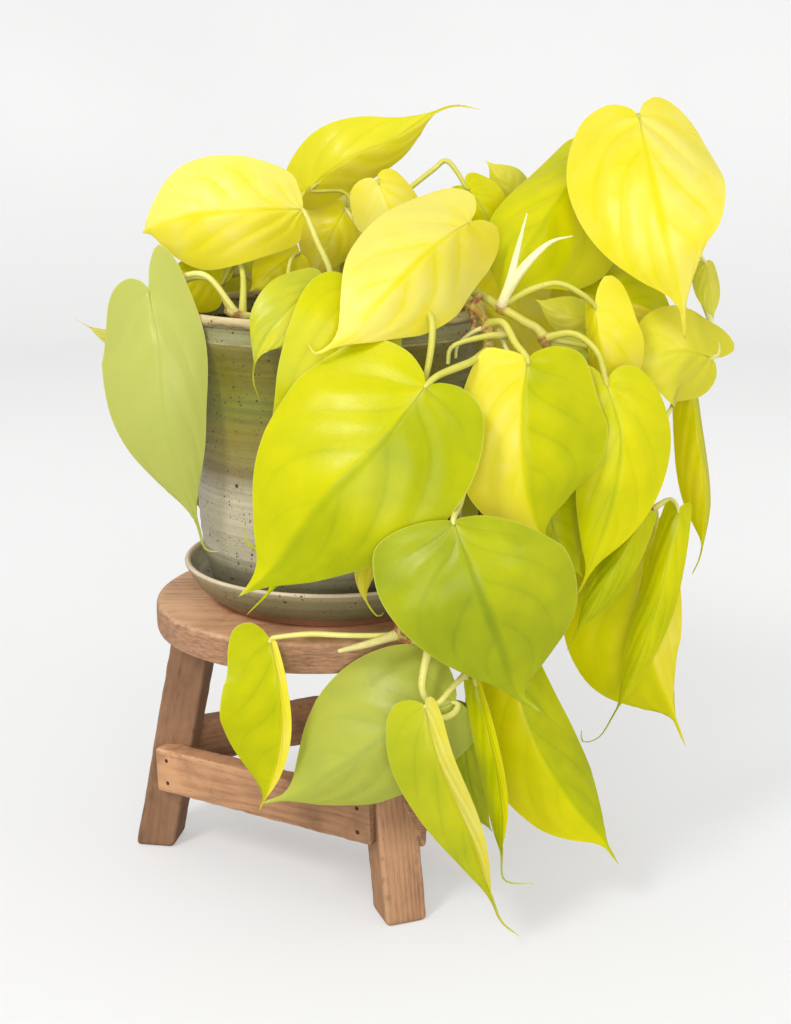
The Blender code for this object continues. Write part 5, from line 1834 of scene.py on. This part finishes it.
@dataclass(frozen=True)
class Vine:
    """One leafy stem: its main stem, its leaf stalks and its blades."""

    name: str
    slot: Slot
    leaves: tuple[Leaf, ...]
    stems: tuple[Stem, ...]
    hanging: tuple[Hanging, ...] = ()
    pot_x: float = 6.3
    half_width: float = 0.38
    half_angle: float = -16
    out: tuple[float, ...] = (0, 0.12, 0.144, 0.096)
    down: tuple[float, ...] = (0, 0.33, 0.66, 1)
    stalk_rise: float = 9
    stalk_out: float = 2
    blade: BladeForm = BladeForm()
    stalk: StalkForm = StalkForm()

    def hung(self, spec: Hanging) -> tuple[Leaf, Stem]:
        """Leaf and stalk of the far side, from its place about the pot.

        Args:
            spec: The leaf.

        Returns:
            The leaf and its stalk.
        """
        outward, sideways = direction(spec.azimuth, 0), direction(spec.azimuth + 90, 0)
        base = np.array([self.pot_x, 0, spec.z]) + outward * spec.radius
        out, down = np.array(self.out)[:, None], np.array(self.down)[:, None]
        drift = outward * out + sideways * (spec.sway / 100 * np.minimum(1, np.round(down, 1)))
        rib = base + (drift - np.array([0, 0, 1]) * down) * spec.length
        half = (spec.length * self.half_width, self.half_angle)
        leaf = Leaf(spec.hue, tuple(map(tuple, rib)), half, half, lobe=0.1, arch=20, face=(spec.azimuth, 14))
        crest = (np.array(spec.node) + base) / 2 + outward * self.stalk_out + (0, 0, self.stalk_rise)
        return leaf, Stem((spec.node, tuple(crest), tuple(base)), (1.5, 1.1))

    def build(self, placing: Placing, seed: int, coat: Material, bark: Material) -> None:
        """Make the blades as one piece and the stems as another.

        Args:
            placing: Where the stool's axis stands.
            seed: First seed of this vine.
            coat: Material of the blades.
            bark: Material of the stems.
        """
        hung = [self.hung(spec) for spec in self.hanging]
        leaves = list(self.leaves) + [leaf for leaf, _ in hung]
        stems = list(self.stems) + [stem for _, stem in hung]
        blades = [self.blade.skin(leaf, seed + k) for k, leaf in enumerate(leaves)]
        main, *stalks = stems
        bases = np.array([leaf.rib[0] for leaf in leaves])
        skins = [self.stalk.skin(main, self.stalk.joints_on(main, stalks), bases, seed)]
        skins += [self.stalk.skin(stem, np.zeros(0), bases, seed + 50 + k) for k, stem in enumerate(stalks)]
        node = "vine_" + self.name
        placing.add("blades_" + self.name, joined(blades), coat, self.slot, node)
        placing.add("stems_" + self.name, joined(skins), bark, self.slot, node)


FRONT_VINE = Vine("front", Slot.FOLIAGE_BRIGHT, leaves=(
    # Broad leaf over the pot front
    Leaf((0.45, 0.65), ((54, -112, 277), (35, -124, 254), (11, -128, 230), (-10, -122, 202),
        (-20, -119, 190), (-32, -117, 180)), (53, -14), (45, -4), lobe=(0.07, 0.075), belly=(0.25, 0.29),
        arch=(16, 14)),
    # Bright leaf beside it; its left half has a paler hue than its right, painted light on the half that
    # faces the light
    Leaf((0.15, 0.55), ((101, -90, 286), (99, -98, 259), (101, -100, 231), (105, -98, 212),
        (111, -96, 199)), (32, 0), (45, -16), lobe=(0.04, 0.085), belly=(0.43, 0.38), arch=(14, 16)),
    # Broad leaf at the stool top
    Leaf((0.8, 0.7), ((66, -131, 220), (76, -144, 196), (87, -141, 165), (95, -134, 141),
        (100, -133, 135), (107, -132, 130)), (43, 2), (49, -14), lobe=0.02, belly=(0.24, 0.37),
        arch=(14, 22), slant=10, shoulder=(0.04, 0.12), drip=0.06, dust=0.05),
    # Folded leaf at the lower left; its left half has a greener hue than its right, painted shade
    Leaf((0.55, 0.1), ((-19, -98, 153), (-15, -107, 135), (-14, -108, 109), (-20, -104, 81),
        (-26, -101, 66)), (31, -24), (6, 46), lobe=(0.12, 0.01), belly=(0.45, 0.5), arch=(-20, 30),
        shoulder=(0, 0.1), drip=0.05),
    # Dusty leaf below the stool top
    Leaf((0.6, 0.65), ((69, -108, 126), (43, -114, 115), (14, -114, 94), (-6, -108, 79), (-24, -105, 72)),
        (41, -18), (34, -18), lobe=0.04, belly=0.3, arch=14, drip=0.04, dust=0.5),
    # Long leaf before the front foot
    Leaf((0.6, 0.05), ((54, -124, 130), (60, -130, 105), (75, -128, 67), (87, -122, 30), (92, -120, 17),
        (101, -118, 8)), (23, -10), (13, 56), lobe=0.03, belly=(0.2, 0.25), arch=(20, 10), drip=0.12,
        dust=0.1),
    # Narrow leaf at the front foot
    Leaf((0.65, 0.4), ((78, -110, 136), (84, -120, 114), (90, -122, 82), (91, -120, 55), (93, -118, 38),
        (108, -116, 35)), (10, -35), (5, 50), lobe=0.02, belly=0.42, arch=10, drip=0.22),
    # Short leaf behind it
    Leaf((0.75, 0.7), ((75, -96, 120), (74, -101, 98), (79, -101, 72), (88, -99, 54)), (17, -14),
        (16, -14), lobe=0.02, belly=0.35, arch=14, dust=0.1),
    # Leaf pointing down to the right
    Leaf((0.35, 0.6), ((97, -84, 134), (109, -92, 99), (127, -92, 68), (144, -88, 44), (153, -84, 29)),
        (32, -16), (27, -36), lobe=0.08, belly=(0.4, 0.42), arch=16, drip=0.07),
    # Curled leaf over the saucer
    Leaf((0.1, 0.15), ((48, -84, 216), (37, -90, 199), (27, -92, 187), (25, -92, 177), (27, -91, 169),
        (32, -90, 162), (35, -89, 164)), (11, -40), (12, -40), lobe=0.04, belly=0.34, arch=12, drip=0.16),
), stems=(
    Stem(((48, -24, 281), (48, -24, 289), (51, -26, 299), (60, -33, 307), (76, -42, 308), (84, -58, 297),
        (84, -72, 287), (83, -82, 266), (75, -86, 233), (60, -96, 192), (42, -104, 160), (58, -104, 152),
        (78, -100, 137)), (2.3, 1.9)),
    Stem(((84, -71, 287), (75, -92, 285), (60, -106, 281), (54, -112, 277), (51, -114, 274)), (2.0, 1.5)),
    Stem(((84, -57, 298), (91, -70, 300), (96, -82, 292), (101, -90, 286), (101, -92, 282)), (1.9, 1.5)),
    Stem(((75, -86, 233), (70, -110, 223), (66, -131, 220), (68, -134, 216)), (1.6, 1.4)),
    Stem(((39, -104, 157), (17, -106, 158), (0, -104, 158), (-16, -100, 155), (-19, -98, 153),
        (-20, -101, 149)), (1.4, 1.2)),
    Stem(((42, -104, 158), (27, -110, 155), (14, -114, 153)), (2.0, 0.9), 0.2, 0.3, 0.25),
    Stem(((57, -104, 154), (54, -112, 144), (53, -116, 135), (57, -116, 126), (62, -114, 120),
        (68, -111, 121), (70, -109, 125), (65, -109, 126)), (1.9, 1.5)),
    Stem(((76, -101, 139), (68, -116, 137), (60, -124, 131), (54, -124, 130), (55, -126, 126)), (1.5, 1.2)),
    Stem(((78, -100, 137), (78, -106, 137), (78, -111, 136), (80, -113, 131)), (1.5, 1.2)),
    Stem(((78, -100, 137), (76, -96, 127), (75, -96, 120), (75, -97, 115)), (1.4, 1.1)),
    Stem(((78, -100, 137), (88, -92, 139), (97, -84, 134), (99, -86, 128)), (1.4, 1.1)),
    Stem(((75, -86, 233), (62, -82, 225), (48, -84, 216), (46, -85, 212)), (1.4, 1.1)),
    Stem(((81, -54, 311), (76, -58, 306), (78, -60, 299), (75, -60, 292), (72, -58, 294)), (1.2, 0.6),
        0.5, 0, 1.0),
    Stem(((84, -58, 299), (79, -60, 305), (72, -58, 308), (67, -56, 306)), (1.4, 0.8), 0.6, 0, 0.8),
    Stem(((93, -66, 294), (83, -72, 294), (72, -76, 292), (66, -78, 289), (65, -78, 282)), (1.5, 1.0)),
    Stem(((84, -58, 297), (76, -62, 294), (70, -66, 289), (69, -66, 283)), (1.1, 0.7), 0, 0.3),
    Stem(((90, -62, 296), (92, -66, 289), (95, -70, 284), (94, -72, 280)), (1.3, 0.8), 0, 0.5),
))

CENTRE_VINE = Vine("centre", Slot.FOLIAGE_BRIGHT, leaves=(
    # Leaf behind the broad one
    Leaf((0.5, 0.8), ((31, -100, 255), (15, -106, 228), (-4, -107, 200), (-17, -104, 180),
        (-30, -101, 166)), (22, -8), (12, -8), lobe=0.08, belly=(0.3, 0.22), arch=12, drip=0.1),
    # Pale leaf over the rim
    Leaf((0.0, 0.05), ((76, -52, 346), (57, -77, 335), (37, -97, 317), (21, -102, 301), (11, -101, 293),
        (4, -101, 290), (1, -101, 295)), (33, -14), (33, -20), lobe=0.15, belly=0.31, arch=22, drip=0.08),
    # Long leaf down the pot
    Leaf(0.45, ((21, -80, 319), (17, -91, 304), (11, -94, 281), (5, -94, 258), (-11, -92, 220),
        (-23, -90, 197), (-30, -89, 199), (-31, -88, 205)), (24, 10), (30, -8), lobe=0.03,
        belly=0.27, arch=(8, 12), shoulder=0.04, drip=0.1),
    # Top leaf pointing right
    Leaf((0.15, 0.25), ((-5, 6, 358), (15, 0, 373), (40, 4, 384), (59, 8, 396), (71, 10, 400),
        (84, 12, 398)), (19, -44), (23, -8), lobe=0.08, belly=(0.3, 0.21), arch=14, drip=0.2, dust=0.1),
    # Small leaf behind the pale one
    Leaf((0.15, 0.1), ((15, 20, 349), (7, 14, 335), (-6, 10, 313)), (21, -14), (16, -14), lobe=0.06),
    # Small pale leaf on top
    Leaf((0.05, 0.15), ((31, -4, 364), (39, -12, 347), (44, -14, 324)), (23, -20), (19, -20), lobe=0.1),
    # Small green leaf on top
    Leaf((0.5, 0.35), ((76, 4, 360), (84, 2, 351), (92, 2, 334)), (15, -20), (17, -20), lobe=0.15),
), stems=(
    Stem(((30, -10, 281), (30, -10, 296), (30, -8, 314), (34, -4, 332), (38, 2, 352)), (2.2, 1.8)),
    Stem(((34, -4, 330), (75, -40, 326), (76, -50, 345), (73, -55, 344)), (1.5, 1.2)),
    Stem(((30, -8, 314), (33, -44, 324), (21, -80, 319), (19, -86, 314)), (1.5, 1.2)),
    Stem(((34, -4, 330), (21, 0, 341), (18, 10, 353), (12, 10, 358), (-2, 6, 358), (1, 5, 362)),
        (1.2, 1.0)),
    Stem(((30, -8, 315), (28, 4, 328), (15, 19, 348), (13, 18, 344)), (1.2, 1.0)),
    Stem(((38, 2, 352), (39, 4, 358), (32, -3, 364), (33, -6, 360)), (1.2, 1.0)),
    Stem(((38, 2, 352), (59, 8, 368), (66, 8, 373), (72, 6, 367), (76, 4, 360), (78, 3, 359)), (1.5, 1.1)),
    Stem(((30, -9, 302), (38, -40, 306), (48, -66, 307), (57, -90, 304), (54, -96, 278), (44, -99, 263),
        (31, -100, 255), (28, -102, 251)), (1.9, 1.3)),
))

LEFT_VINE = Vine("left", Slot.FOLIAGE_BRIGHT, leaves=(
    # Pale leaf at the upper left
    Leaf((0.0, 0.1), ((-5, -22, 350), (-30, -30, 350), (-60, -28, 347), (-79, -20, 342), (-86, -14, 338)),
        (32, -8), (28, -16), lobe=0.01, belly=(0.5, 0.56), arch=18, shoulder=(0.13, 0.12)),
    # Dusty leaf hanging at the left
    Leaf(0.25, ((-78, -50, 314), (-72, -67, 289), (-70, -71, 259), (-64, -67, 229), (-57, -58, 199),
        (-54, -55, 186), (-46, -54, 184)), (34, -18), (23, -6), lobe=(0.07, 0.16), belly=0.27,
        arch=(20, 14), drip=0.13, dust=0.8),
    # Narrow leaf pointing left
    Leaf(0.0, ((-85, -12, 278), (-105, -14, 286), (-122, -16, 296)), (5, -14), (5, -14), lobe=0.05,
        drip=0.15, dust=0.3),
    # Leaf lying at the left rim
    Leaf((0.5, 0.25), ((-48, -6, 312), (-61, -4, 317), (-75, -2, 321)), (16, -20), (20, -20), lobe=0.1),
    # Curled leaf at the rim
    Leaf((0.5, 0.3), ((6, -72, 318), (-5, -84, 311), (-16, -89, 300), (-23, -90, 288), (-25, -89, 276),
        (-22, -87, 265)), (16, -8), (14, -2), lobe=0.08, belly=0.36, arch=12, drip=0.28, dust=0.2),
    # Leaf inside the left rim
    Leaf(0.2, ((-8, -8, 328), (-20, -14, 321), (-33, -16, 309)), (15, -14), (15, -14), lobe=0.06),
), stems=(
    Stem(((14, -28, 281), (14, -28, 288), (12, -29, 296), (4, -32, 300), (-14, -38, 300), (-34, -42, 300),
        (-42, -40, 303)), (2.0, 1.8)),
    Stem(((4, -32, 298), (9, -36, 318), (2, -28, 335), (-5, -22, 350), (-9, -24, 350)), (1.7, 1.3)),
    Stem(((-36, -42, 300), (-51, -40, 319), (-66, -36, 318), (-77, -46, 315), (-78, -52, 311)), (1.6, 1.2)),
    Stem(((-40, -41, 303), (-49, -34, 316), (-62, -24, 316), (-77, -10, 301), (-85, -11, 279),
        (-89, -12, 280)), (1.4, 1.0)),
    Stem(((-34, -42, 300), (-35, -26, 318), (-40, -12, 324), (-48, -6, 312), (-51, -6, 313)), (1.7, 1.0)),
    Stem(((-14, -38, 300), (10, -50, 318), (6, -72, 318), (3, -77, 317)), (1.3, 1.0)),
    Stem(((-14, -38, 300), (-12, -20, 324), (-8, -9, 328), (-10, -10, 327)), (1.3, 1.0)),
))

CROWN_VINE = Vine("crown", Slot.FOLIAGE_BRIGHT, leaves=(
    # Small leaf at the top right
    Leaf(0.2, ((110, 26, 346), (97, 22, 363), (87, 24, 373)), (14, -20), (12, -20), lobe=0.06, dust=0.3),
    # Largest pale leaf
    Leaf((0.15, 0.05), ((159, -18, 395), (161, -48, 370), (167, -66, 338), (175, -64, 312),
        (179, -58, 291)), (41, -12), (41, -12), lobe=(0.11, 0.14), belly=(0.29, 0.24), arch=22, drip=0.07),
    # Leaf behind the largest
    Leaf(0.45, ((142, 8, 378), (121, -22, 355), (102, -38, 328), (91, -40, 306)), (29, -30), (45, -18),
        lobe=0.07, belly=(0.56, 0.42), arch=16),
    # Leaf below the largest
    Leaf((0.1, 0.5), ((125, -5, 311), (149, -16, 306), (168, -18, 301), (184, -16, 294)), (14, -30),
        (25, -20), lobe=0.08, belly=0.42),
    # Small dusty leaf pointing left
    Leaf((0.35, 0.15), ((141, -34, 298), (126, -40, 300), (108, -40, 308)), (11, -10), (11, -20),
        lobe=0.05, dust=0.3),
    # Heart leaf at the right
    Leaf(0.2, ((198, -32, 278), (182, -44, 283), (167, -48, 281), (150, -46, 273)), (26, -14), (29, -14),
        lobe=(0.34, 0.14), belly=0.36, arch=16, dust=0.2),
    # Leaf in the shade of the crown
    Leaf((0.15, 0.1), ((99, 14, 325), (103, 14, 310), (107, 12, 289), (113, 8, 265)), (30, -12),
        (31, -12), lobe=0.08, belly=0.5, arch=14),
    # Small edge-on leaf at the right
    Leaf((0.3, 0.2), ((195, -18, 324), (196, -27, 311), (198, -31, 296)), (8, -14), (7, -14),
        lobe=0.05, dust=0.4),
), stems=(
    Stem(((52, 14, 281), (52, 14, 289), (53, 14, 299), (60, 16, 312), (76, 14, 330), (100, 12, 350),
        (124, 12, 362), (146, 10, 358)), (2.3, 1.8)),
    Stem(((124, 12, 362), (148, 4, 384), (158, -8, 391), (159, -17, 395), (159, -23, 391)), (1.6, 1.2)),
    Stem(((110, 12, 356), (141, 20, 377), (142, 10, 379), (139, 5, 374)), (1.5, 1.2)),
    Stem(((88, 13, 341), (115, 14, 333), (111, 26, 345), (108, 26, 350)), (1.2, 1.0)),
    Stem(((88, 13, 341), (122, 6, 320), (125, -5, 311), (129, -7, 310)), (1.2, 1.0)),
    Stem(((110, 12, 356), (147, -10, 312), (141, -34, 298), (137, -36, 298)), (1.3, 1.0)),
    Stem(((146, 10, 358), (176, 0, 345), (201, -22, 288), (198, -32, 278), (194, -35, 280)), (1.5, 1.1)),
    Stem(((146, 10, 358), (168, 0, 352), (195, -18, 324), (195, -21, 320)), (1.2, 1.0)),
))

RIGHT_VINE = Vine("right", Slot.FOLIAGE_BRIGHT, leaves=(
    # Small dusty leaf in the gap
    Leaf(0.4, ((146, -43, 284), (132, -50, 283), (112, -52, 287)), (15, -20), (16, -20), lobe=0.05,
        dust=0.5),
    # Narrow bright leaf
    Leaf((0.2, 0.1), ((135, -60, 307), (137, -63, 291), (142, -58, 269), (151, -52, 248)), (11, -60),
        (23, -6), lobe=(0.05, 0.22), belly=0.38, arch=14),
    # Edge-on leaf at the far right
    Leaf((0.3, 0.35), ((193, -10, 260), (197, -20, 229), (201, -20, 197), (201, -16, 173),
        (197, -14, 160)), (15, -30), (15, -60), lobe=0.03, belly=0.4, arch=14, drip=0.13),
    # Leaf hanging at the right front
    Leaf((0.5, 0.4), ((140, -73, 272), (147, -81, 246), (143, -82, 213), (135, -80, 185),
        (129, -77, 169)), (20, -6), (29, -16), lobe=(0.1, 0.06), belly=(0.33, 0.21), arch=(10, 18),
        drip=0.04),
    # Small leaf in the gap; its hue is set paler, painted light on a leaf in deep shade
    Leaf(0.6, ((114, -70, 220), (118, -74, 196), (132, -72, 176)), (14, -14), (20, -14), lobe=0.08),
    # Narrow leaf in front
    Leaf((0.65, 0.6), ((162, -66, 208), (150, -74, 188), (137, -76, 165), (125, -72, 138)), (12, -50),
        (11, -20), lobe=0.03, belly=0.35, arch=10, drip=0.1),
    # Wide leaf at the lower right
    Leaf((0.4, 0.15), ((173, -34, 194), (166, -46, 162), (171, -48, 125), (185, -40, 94), (194, -36, 72)),
        (43, -14), (28, -26), lobe=0.06, belly=(0.42, 0.33), arch=20, drip=0.12),
    # Long narrow leaf with a hooked tip
    Leaf((0.55, 0.5), ((180, -56, 206), (175, -62, 182), (171, -64, 162), (165, -64, 141),
        (157, -60, 113), (151, -57, 97), (145, -56, 86), (137, -55, 83), (136, -54, 90)), (12, -40),
        (11, -20), lobe=0.03, belly=0.36, arch=10, drip=0.2),
), stems=(
    Stem(((56, -12, 281), (56, -12, 289), (58, -14, 299), (66, -22, 307), (80, -34, 310), (90, -56, 306),
        (101, -62, 300), (111, -64, 292), (119, -66, 263), (135, -64, 233), (155, -56, 211),
        (168, -48, 204)), (2.3, 1.8)),
    Stem(((91, -57, 307), (105, -62, 315), (117, -64, 318), (128, -63, 313), (135, -60, 307),
        (135, -62, 304)), (1.7, 1.2)),
    Stem(((111, -64, 292), (124, -70, 295), (135, -74, 287), (140, -73, 272), (142, -75, 267)), (1.7, 1.3)),
    Stem(((111, -64, 292), (130, -52, 287), (142, -44, 284), (139, -46, 282)), (1.2, 1.0)),
    Stem(((117, -66, 272), (112, -68, 239), (114, -70, 220), (115, -71, 216)), (1.3, 1.0)),
    Stem(((155, -58, 212), (161, -62, 213), (162, -66, 208), (160, -68, 205)), (1.3, 1.0)),
    Stem(((161, -54, 208), (171, -44, 203), (173, -34, 194), (172, -36, 190)), (1.3, 1.0)),
    Stem(((168, -48, 204), (177, -50, 210), (180, -56, 206), (179, -57, 201)), (1.3, 1.0)),
    Stem(((155, -58, 212), (172, -40, 243), (189, -12, 261), (193, -10, 260), (193, -12, 256)), (1.3, 1.0)),
    Stem(((91, -58, 307), (94, -62, 317), (97, -64, 331), (102, -60, 350)), (1.9, 0.3), 0.5, 0.85),
    Stem(((92, -59, 310), (100, -66, 325), (112, -68, 337), (123, -66, 340)), (1.5, 0.3), 1.0, 0.85),
))

BACK_RIGHT_VINE = Vine("back_right", Slot.FOLIAGE_GREEN, leaves=(
    # Leaf over the back right rim
    Leaf(0.3, ((38, 30, 331), (53, 48, 342), (68, 67, 339), (80, 84, 323)), (30, -14), (30, -16),
        lobe=0.12, arch=20, face=(145, 62)),
), stems=(
    Stem(((34, 34, 281), (34, 34, 289), (37, 37, 299), (48, 50, 309), (62, 64, 309), (80, 68, 270),
        (86, 64, 240), (88, 60, 200), (90, 56, 168)), (2.2, 1.7)),
    Stem(((36, 36, 296), (37, 32, 312), (35, 26, 328), (39, 32, 333)), (1.6, 1.2)),
), hanging=(
    Hanging(128, 104, 318, 100, 10, (62, 64, 309), 0.3),
    Hanging(105, 126, 250, 92, -14, (86, 64, 240), 0.6),
    Hanging(140, 113, 240, 98, 12, (80, 68, 270), 0.5),
    Hanging(116, 120, 165, 88, 0, (90, 56, 168), 0.7),
))

BACK_VINE = Vine("back", Slot.FOLIAGE_GREEN, leaves=(
    # Leaf over the back rim
    Leaf(0.05, ((15, 36, 350), (12, 60, 365), (8, 88, 363), (5, 112, 346), (4, 122, 328)), (34, -12),
        (34, -14), lobe=0.12, arch=20, face=(180, 62)),
), stems=(
    Stem(((10, 40, 281), (10, 40, 289), (11, 45, 299), (12, 64, 309), (12, 81, 311), (8, 92, 298),
        (4, 94, 250), (6, 96, 200), (4, 96, 170)), (2.2, 1.7)),
    Stem(((10, 43, 295), (12, 37, 318), (16, 31, 346), (15, 38, 352)), (1.6, 1.2)),
), hanging=(
    Hanging(172, 106, 330, 96, -10, (12, 80, 312), 0.2),
    Hanging(192, 112, 262, 104, 8, (4, 94, 250), 0.5),
    Hanging(165, 122, 236, 92, -8, (4, 94, 250), 0.6),
    Hanging(184, 116, 160, 90, 0, (4, 96, 170), 0.75),
))

BACK_LEFT_VINE = Vine("back_left", Slot.FOLIAGE_GREEN, leaves=(
    # Leaf over the back left rim
    Leaf(0.1, ((-23, 22, 332), (-46, 33, 343), (-70, 43, 339), (-88, 51, 322)), (31, -14), (30, -16),
        lobe=0.12, arch=20, face=(240, 62)),
), stems=(
    Stem(((-18, 30, 281), (-18, 30, 289), (-21, 33, 299), (-34, 46, 308), (-48, 60, 312), (-60, 66, 298),
        (-66, 64, 262), (-65, 63, 238)), (2.1, 1.7)),
    Stem(((-20, 32, 296), (-20, 27, 314), (-19, 18, 328), (-25, 23, 334)), (1.6, 1.2)),
), hanging=(
    Hanging(222, 100, 322, 94, 6, (-48, 60, 312), 0.35),
    Hanging(258, 102, 288, 76, -8, (-60, 66, 298), 0.6),
    Hanging(222, 104, 238, 74, 6, (-65, 63, 238), 0.7),
))
VINES = (
    FRONT_VINE, CENTRE_VINE, LEFT_VINE, CROWN_VINE, RIGHT_VINE,
    BACK_RIGHT_VINE, BACK_VINE, BACK_LEFT_VINE
)


@dataclass(frozen=True)
class Studio:
    """Pale round floor that curves up into a wall, soft light from above, and the camera."""

    camera: Point = (40.5, -774.2, 385.6)
    pitch: float = 14.11
    lens: float = 52.73
    floor_radius: float = 2.1
    cove_radius: float = 0.7
    wall_height: float = 1.6
    floor_steps: int = 96
    sky: float = 0.74
    finish: BackdropFinish = BackdropFinish("backdrop_paper")

    def build(self, placing: Placing) -> None:
        """Make the backdrop, the lights and the camera.

        Args:
            placing: Where the stool's axis stands.
        """
        self.make_backdrop()
        self.make_lights(placing)
        self.make_camera(placing)

    def make_backdrop(self) -> None:
        """Floor, quarter-round cove and wall as one open turned surface."""
        bend = arc(self.floor_radius, self.cove_radius, self.cove_radius, -90, 0, 20)
        line = finely([(0.0001, 0)] + bend + [(self.floor_radius + self.cove_radius, self.wall_height)], 0.3)
        rings = turned_rings(line, self.floor_steps)
        points = rings.reshape(-1, 3)
        quads = ring_quads(*rings.shape[:2])
        mesh = mesh_of("backdrop", Skin(points, quads, np.zeros((0, 3), int), np.zeros((len(points), 2))))
        mesh.materials.append(self.finish.make())
        paper = bpy.data.objects.new("backdrop", mesh)
        bpy.context.scene.collection.objects.link(paper)

    def make_lights(self, placing: Placing) -> None:
        """Even sky light, a strong soft lamp above the front left, weaker ones at the right and in front.

        Args:
            placing: Where the stool's axis stands.
        """
        world = bpy.data.worlds.new("studio_air")
        bpy.context.scene.world = world
        world.use_nodes = True
        sky = world.node_tree.nodes["Background"]
        sky.inputs["Color"].default_value = (1.0, 0.995, 0.985, 1)
        sky.inputs["Strength"].default_value = self.sky
        lamps = (("key", (-1.0, -1.3, 1.7), 0.7, 32.0), ("right", (1.3, -1.0, 1.3), 0.9, 24.0),
                 ("front", (0.1, -1.9, 0.5), 1.4, 21.0))
        for name, place, size, power in lamps:
            light = bpy.data.lights.new("lamp_" + name, "AREA")
            light.shape = "DISK"
            light.size = size
            light.energy = power
            lamp = bpy.data.objects.new("lamp_" + name, light)
            lamp.location = place
            aim = np.array([placing.x, placing.y, 0.2]) - np.array(place)
            tilt = math.atan2(math.hypot(aim[0], aim[1]), -aim[2])
            lamp.rotation_euler = (tilt, 0, math.pi - math.atan2(aim[0], -aim[1]))
            bpy.context.scene.collection.objects.link(lamp)

    def make_camera(self, placing: Placing) -> None:
        """Camera at the photograph's place, looking along +Y and a little down.

        Args:
            placing: Where the stool's axis stands.
        """
        data = bpy.data.cameras.new("camera")
        data.sensor_width = 36
        data.lens = self.lens
        data.clip_start = 0.02
        eye = bpy.data.objects.new("camera", data)
        x, y, z = (value * MM for value in self.camera)
        eye.location = (x + placing.x, y + placing.y, z)
        eye.rotation_euler = (math.radians(90 - self.pitch), 0, 0)
        bpy.context.scene.collection.objects.link(eye)
        bpy.context.scene.camera = eye
        bpy.context.scene.view_settings.view_transform = "Standard"


def main() -> None:
    """Build every sub-assembly in order."""
    logging.basicConfig(level=logging.INFO, format="%(name)s: %(message)s")
    placing = Placing.from_frame()
    Stool().build(placing)
    Crockery().build(placing)
    Soil().build(placing)
    coats = {
        Slot.FOLIAGE_BRIGHT: (LeafFinish("leaf_bright").make(), StalkFinish("stalk_bright").make()),
        Slot.FOLIAGE_GREEN: (LeafFinish("leaf_green").make(), StalkFinish("stalk_green").make()),
    }
    for number, vine in enumerate(VINES):
        vine.build(placing, 100 * (number + 1), *coats[vine.slot])
    Studio().build(placing)
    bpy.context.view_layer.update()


if __name__ == "__main__":
    main()
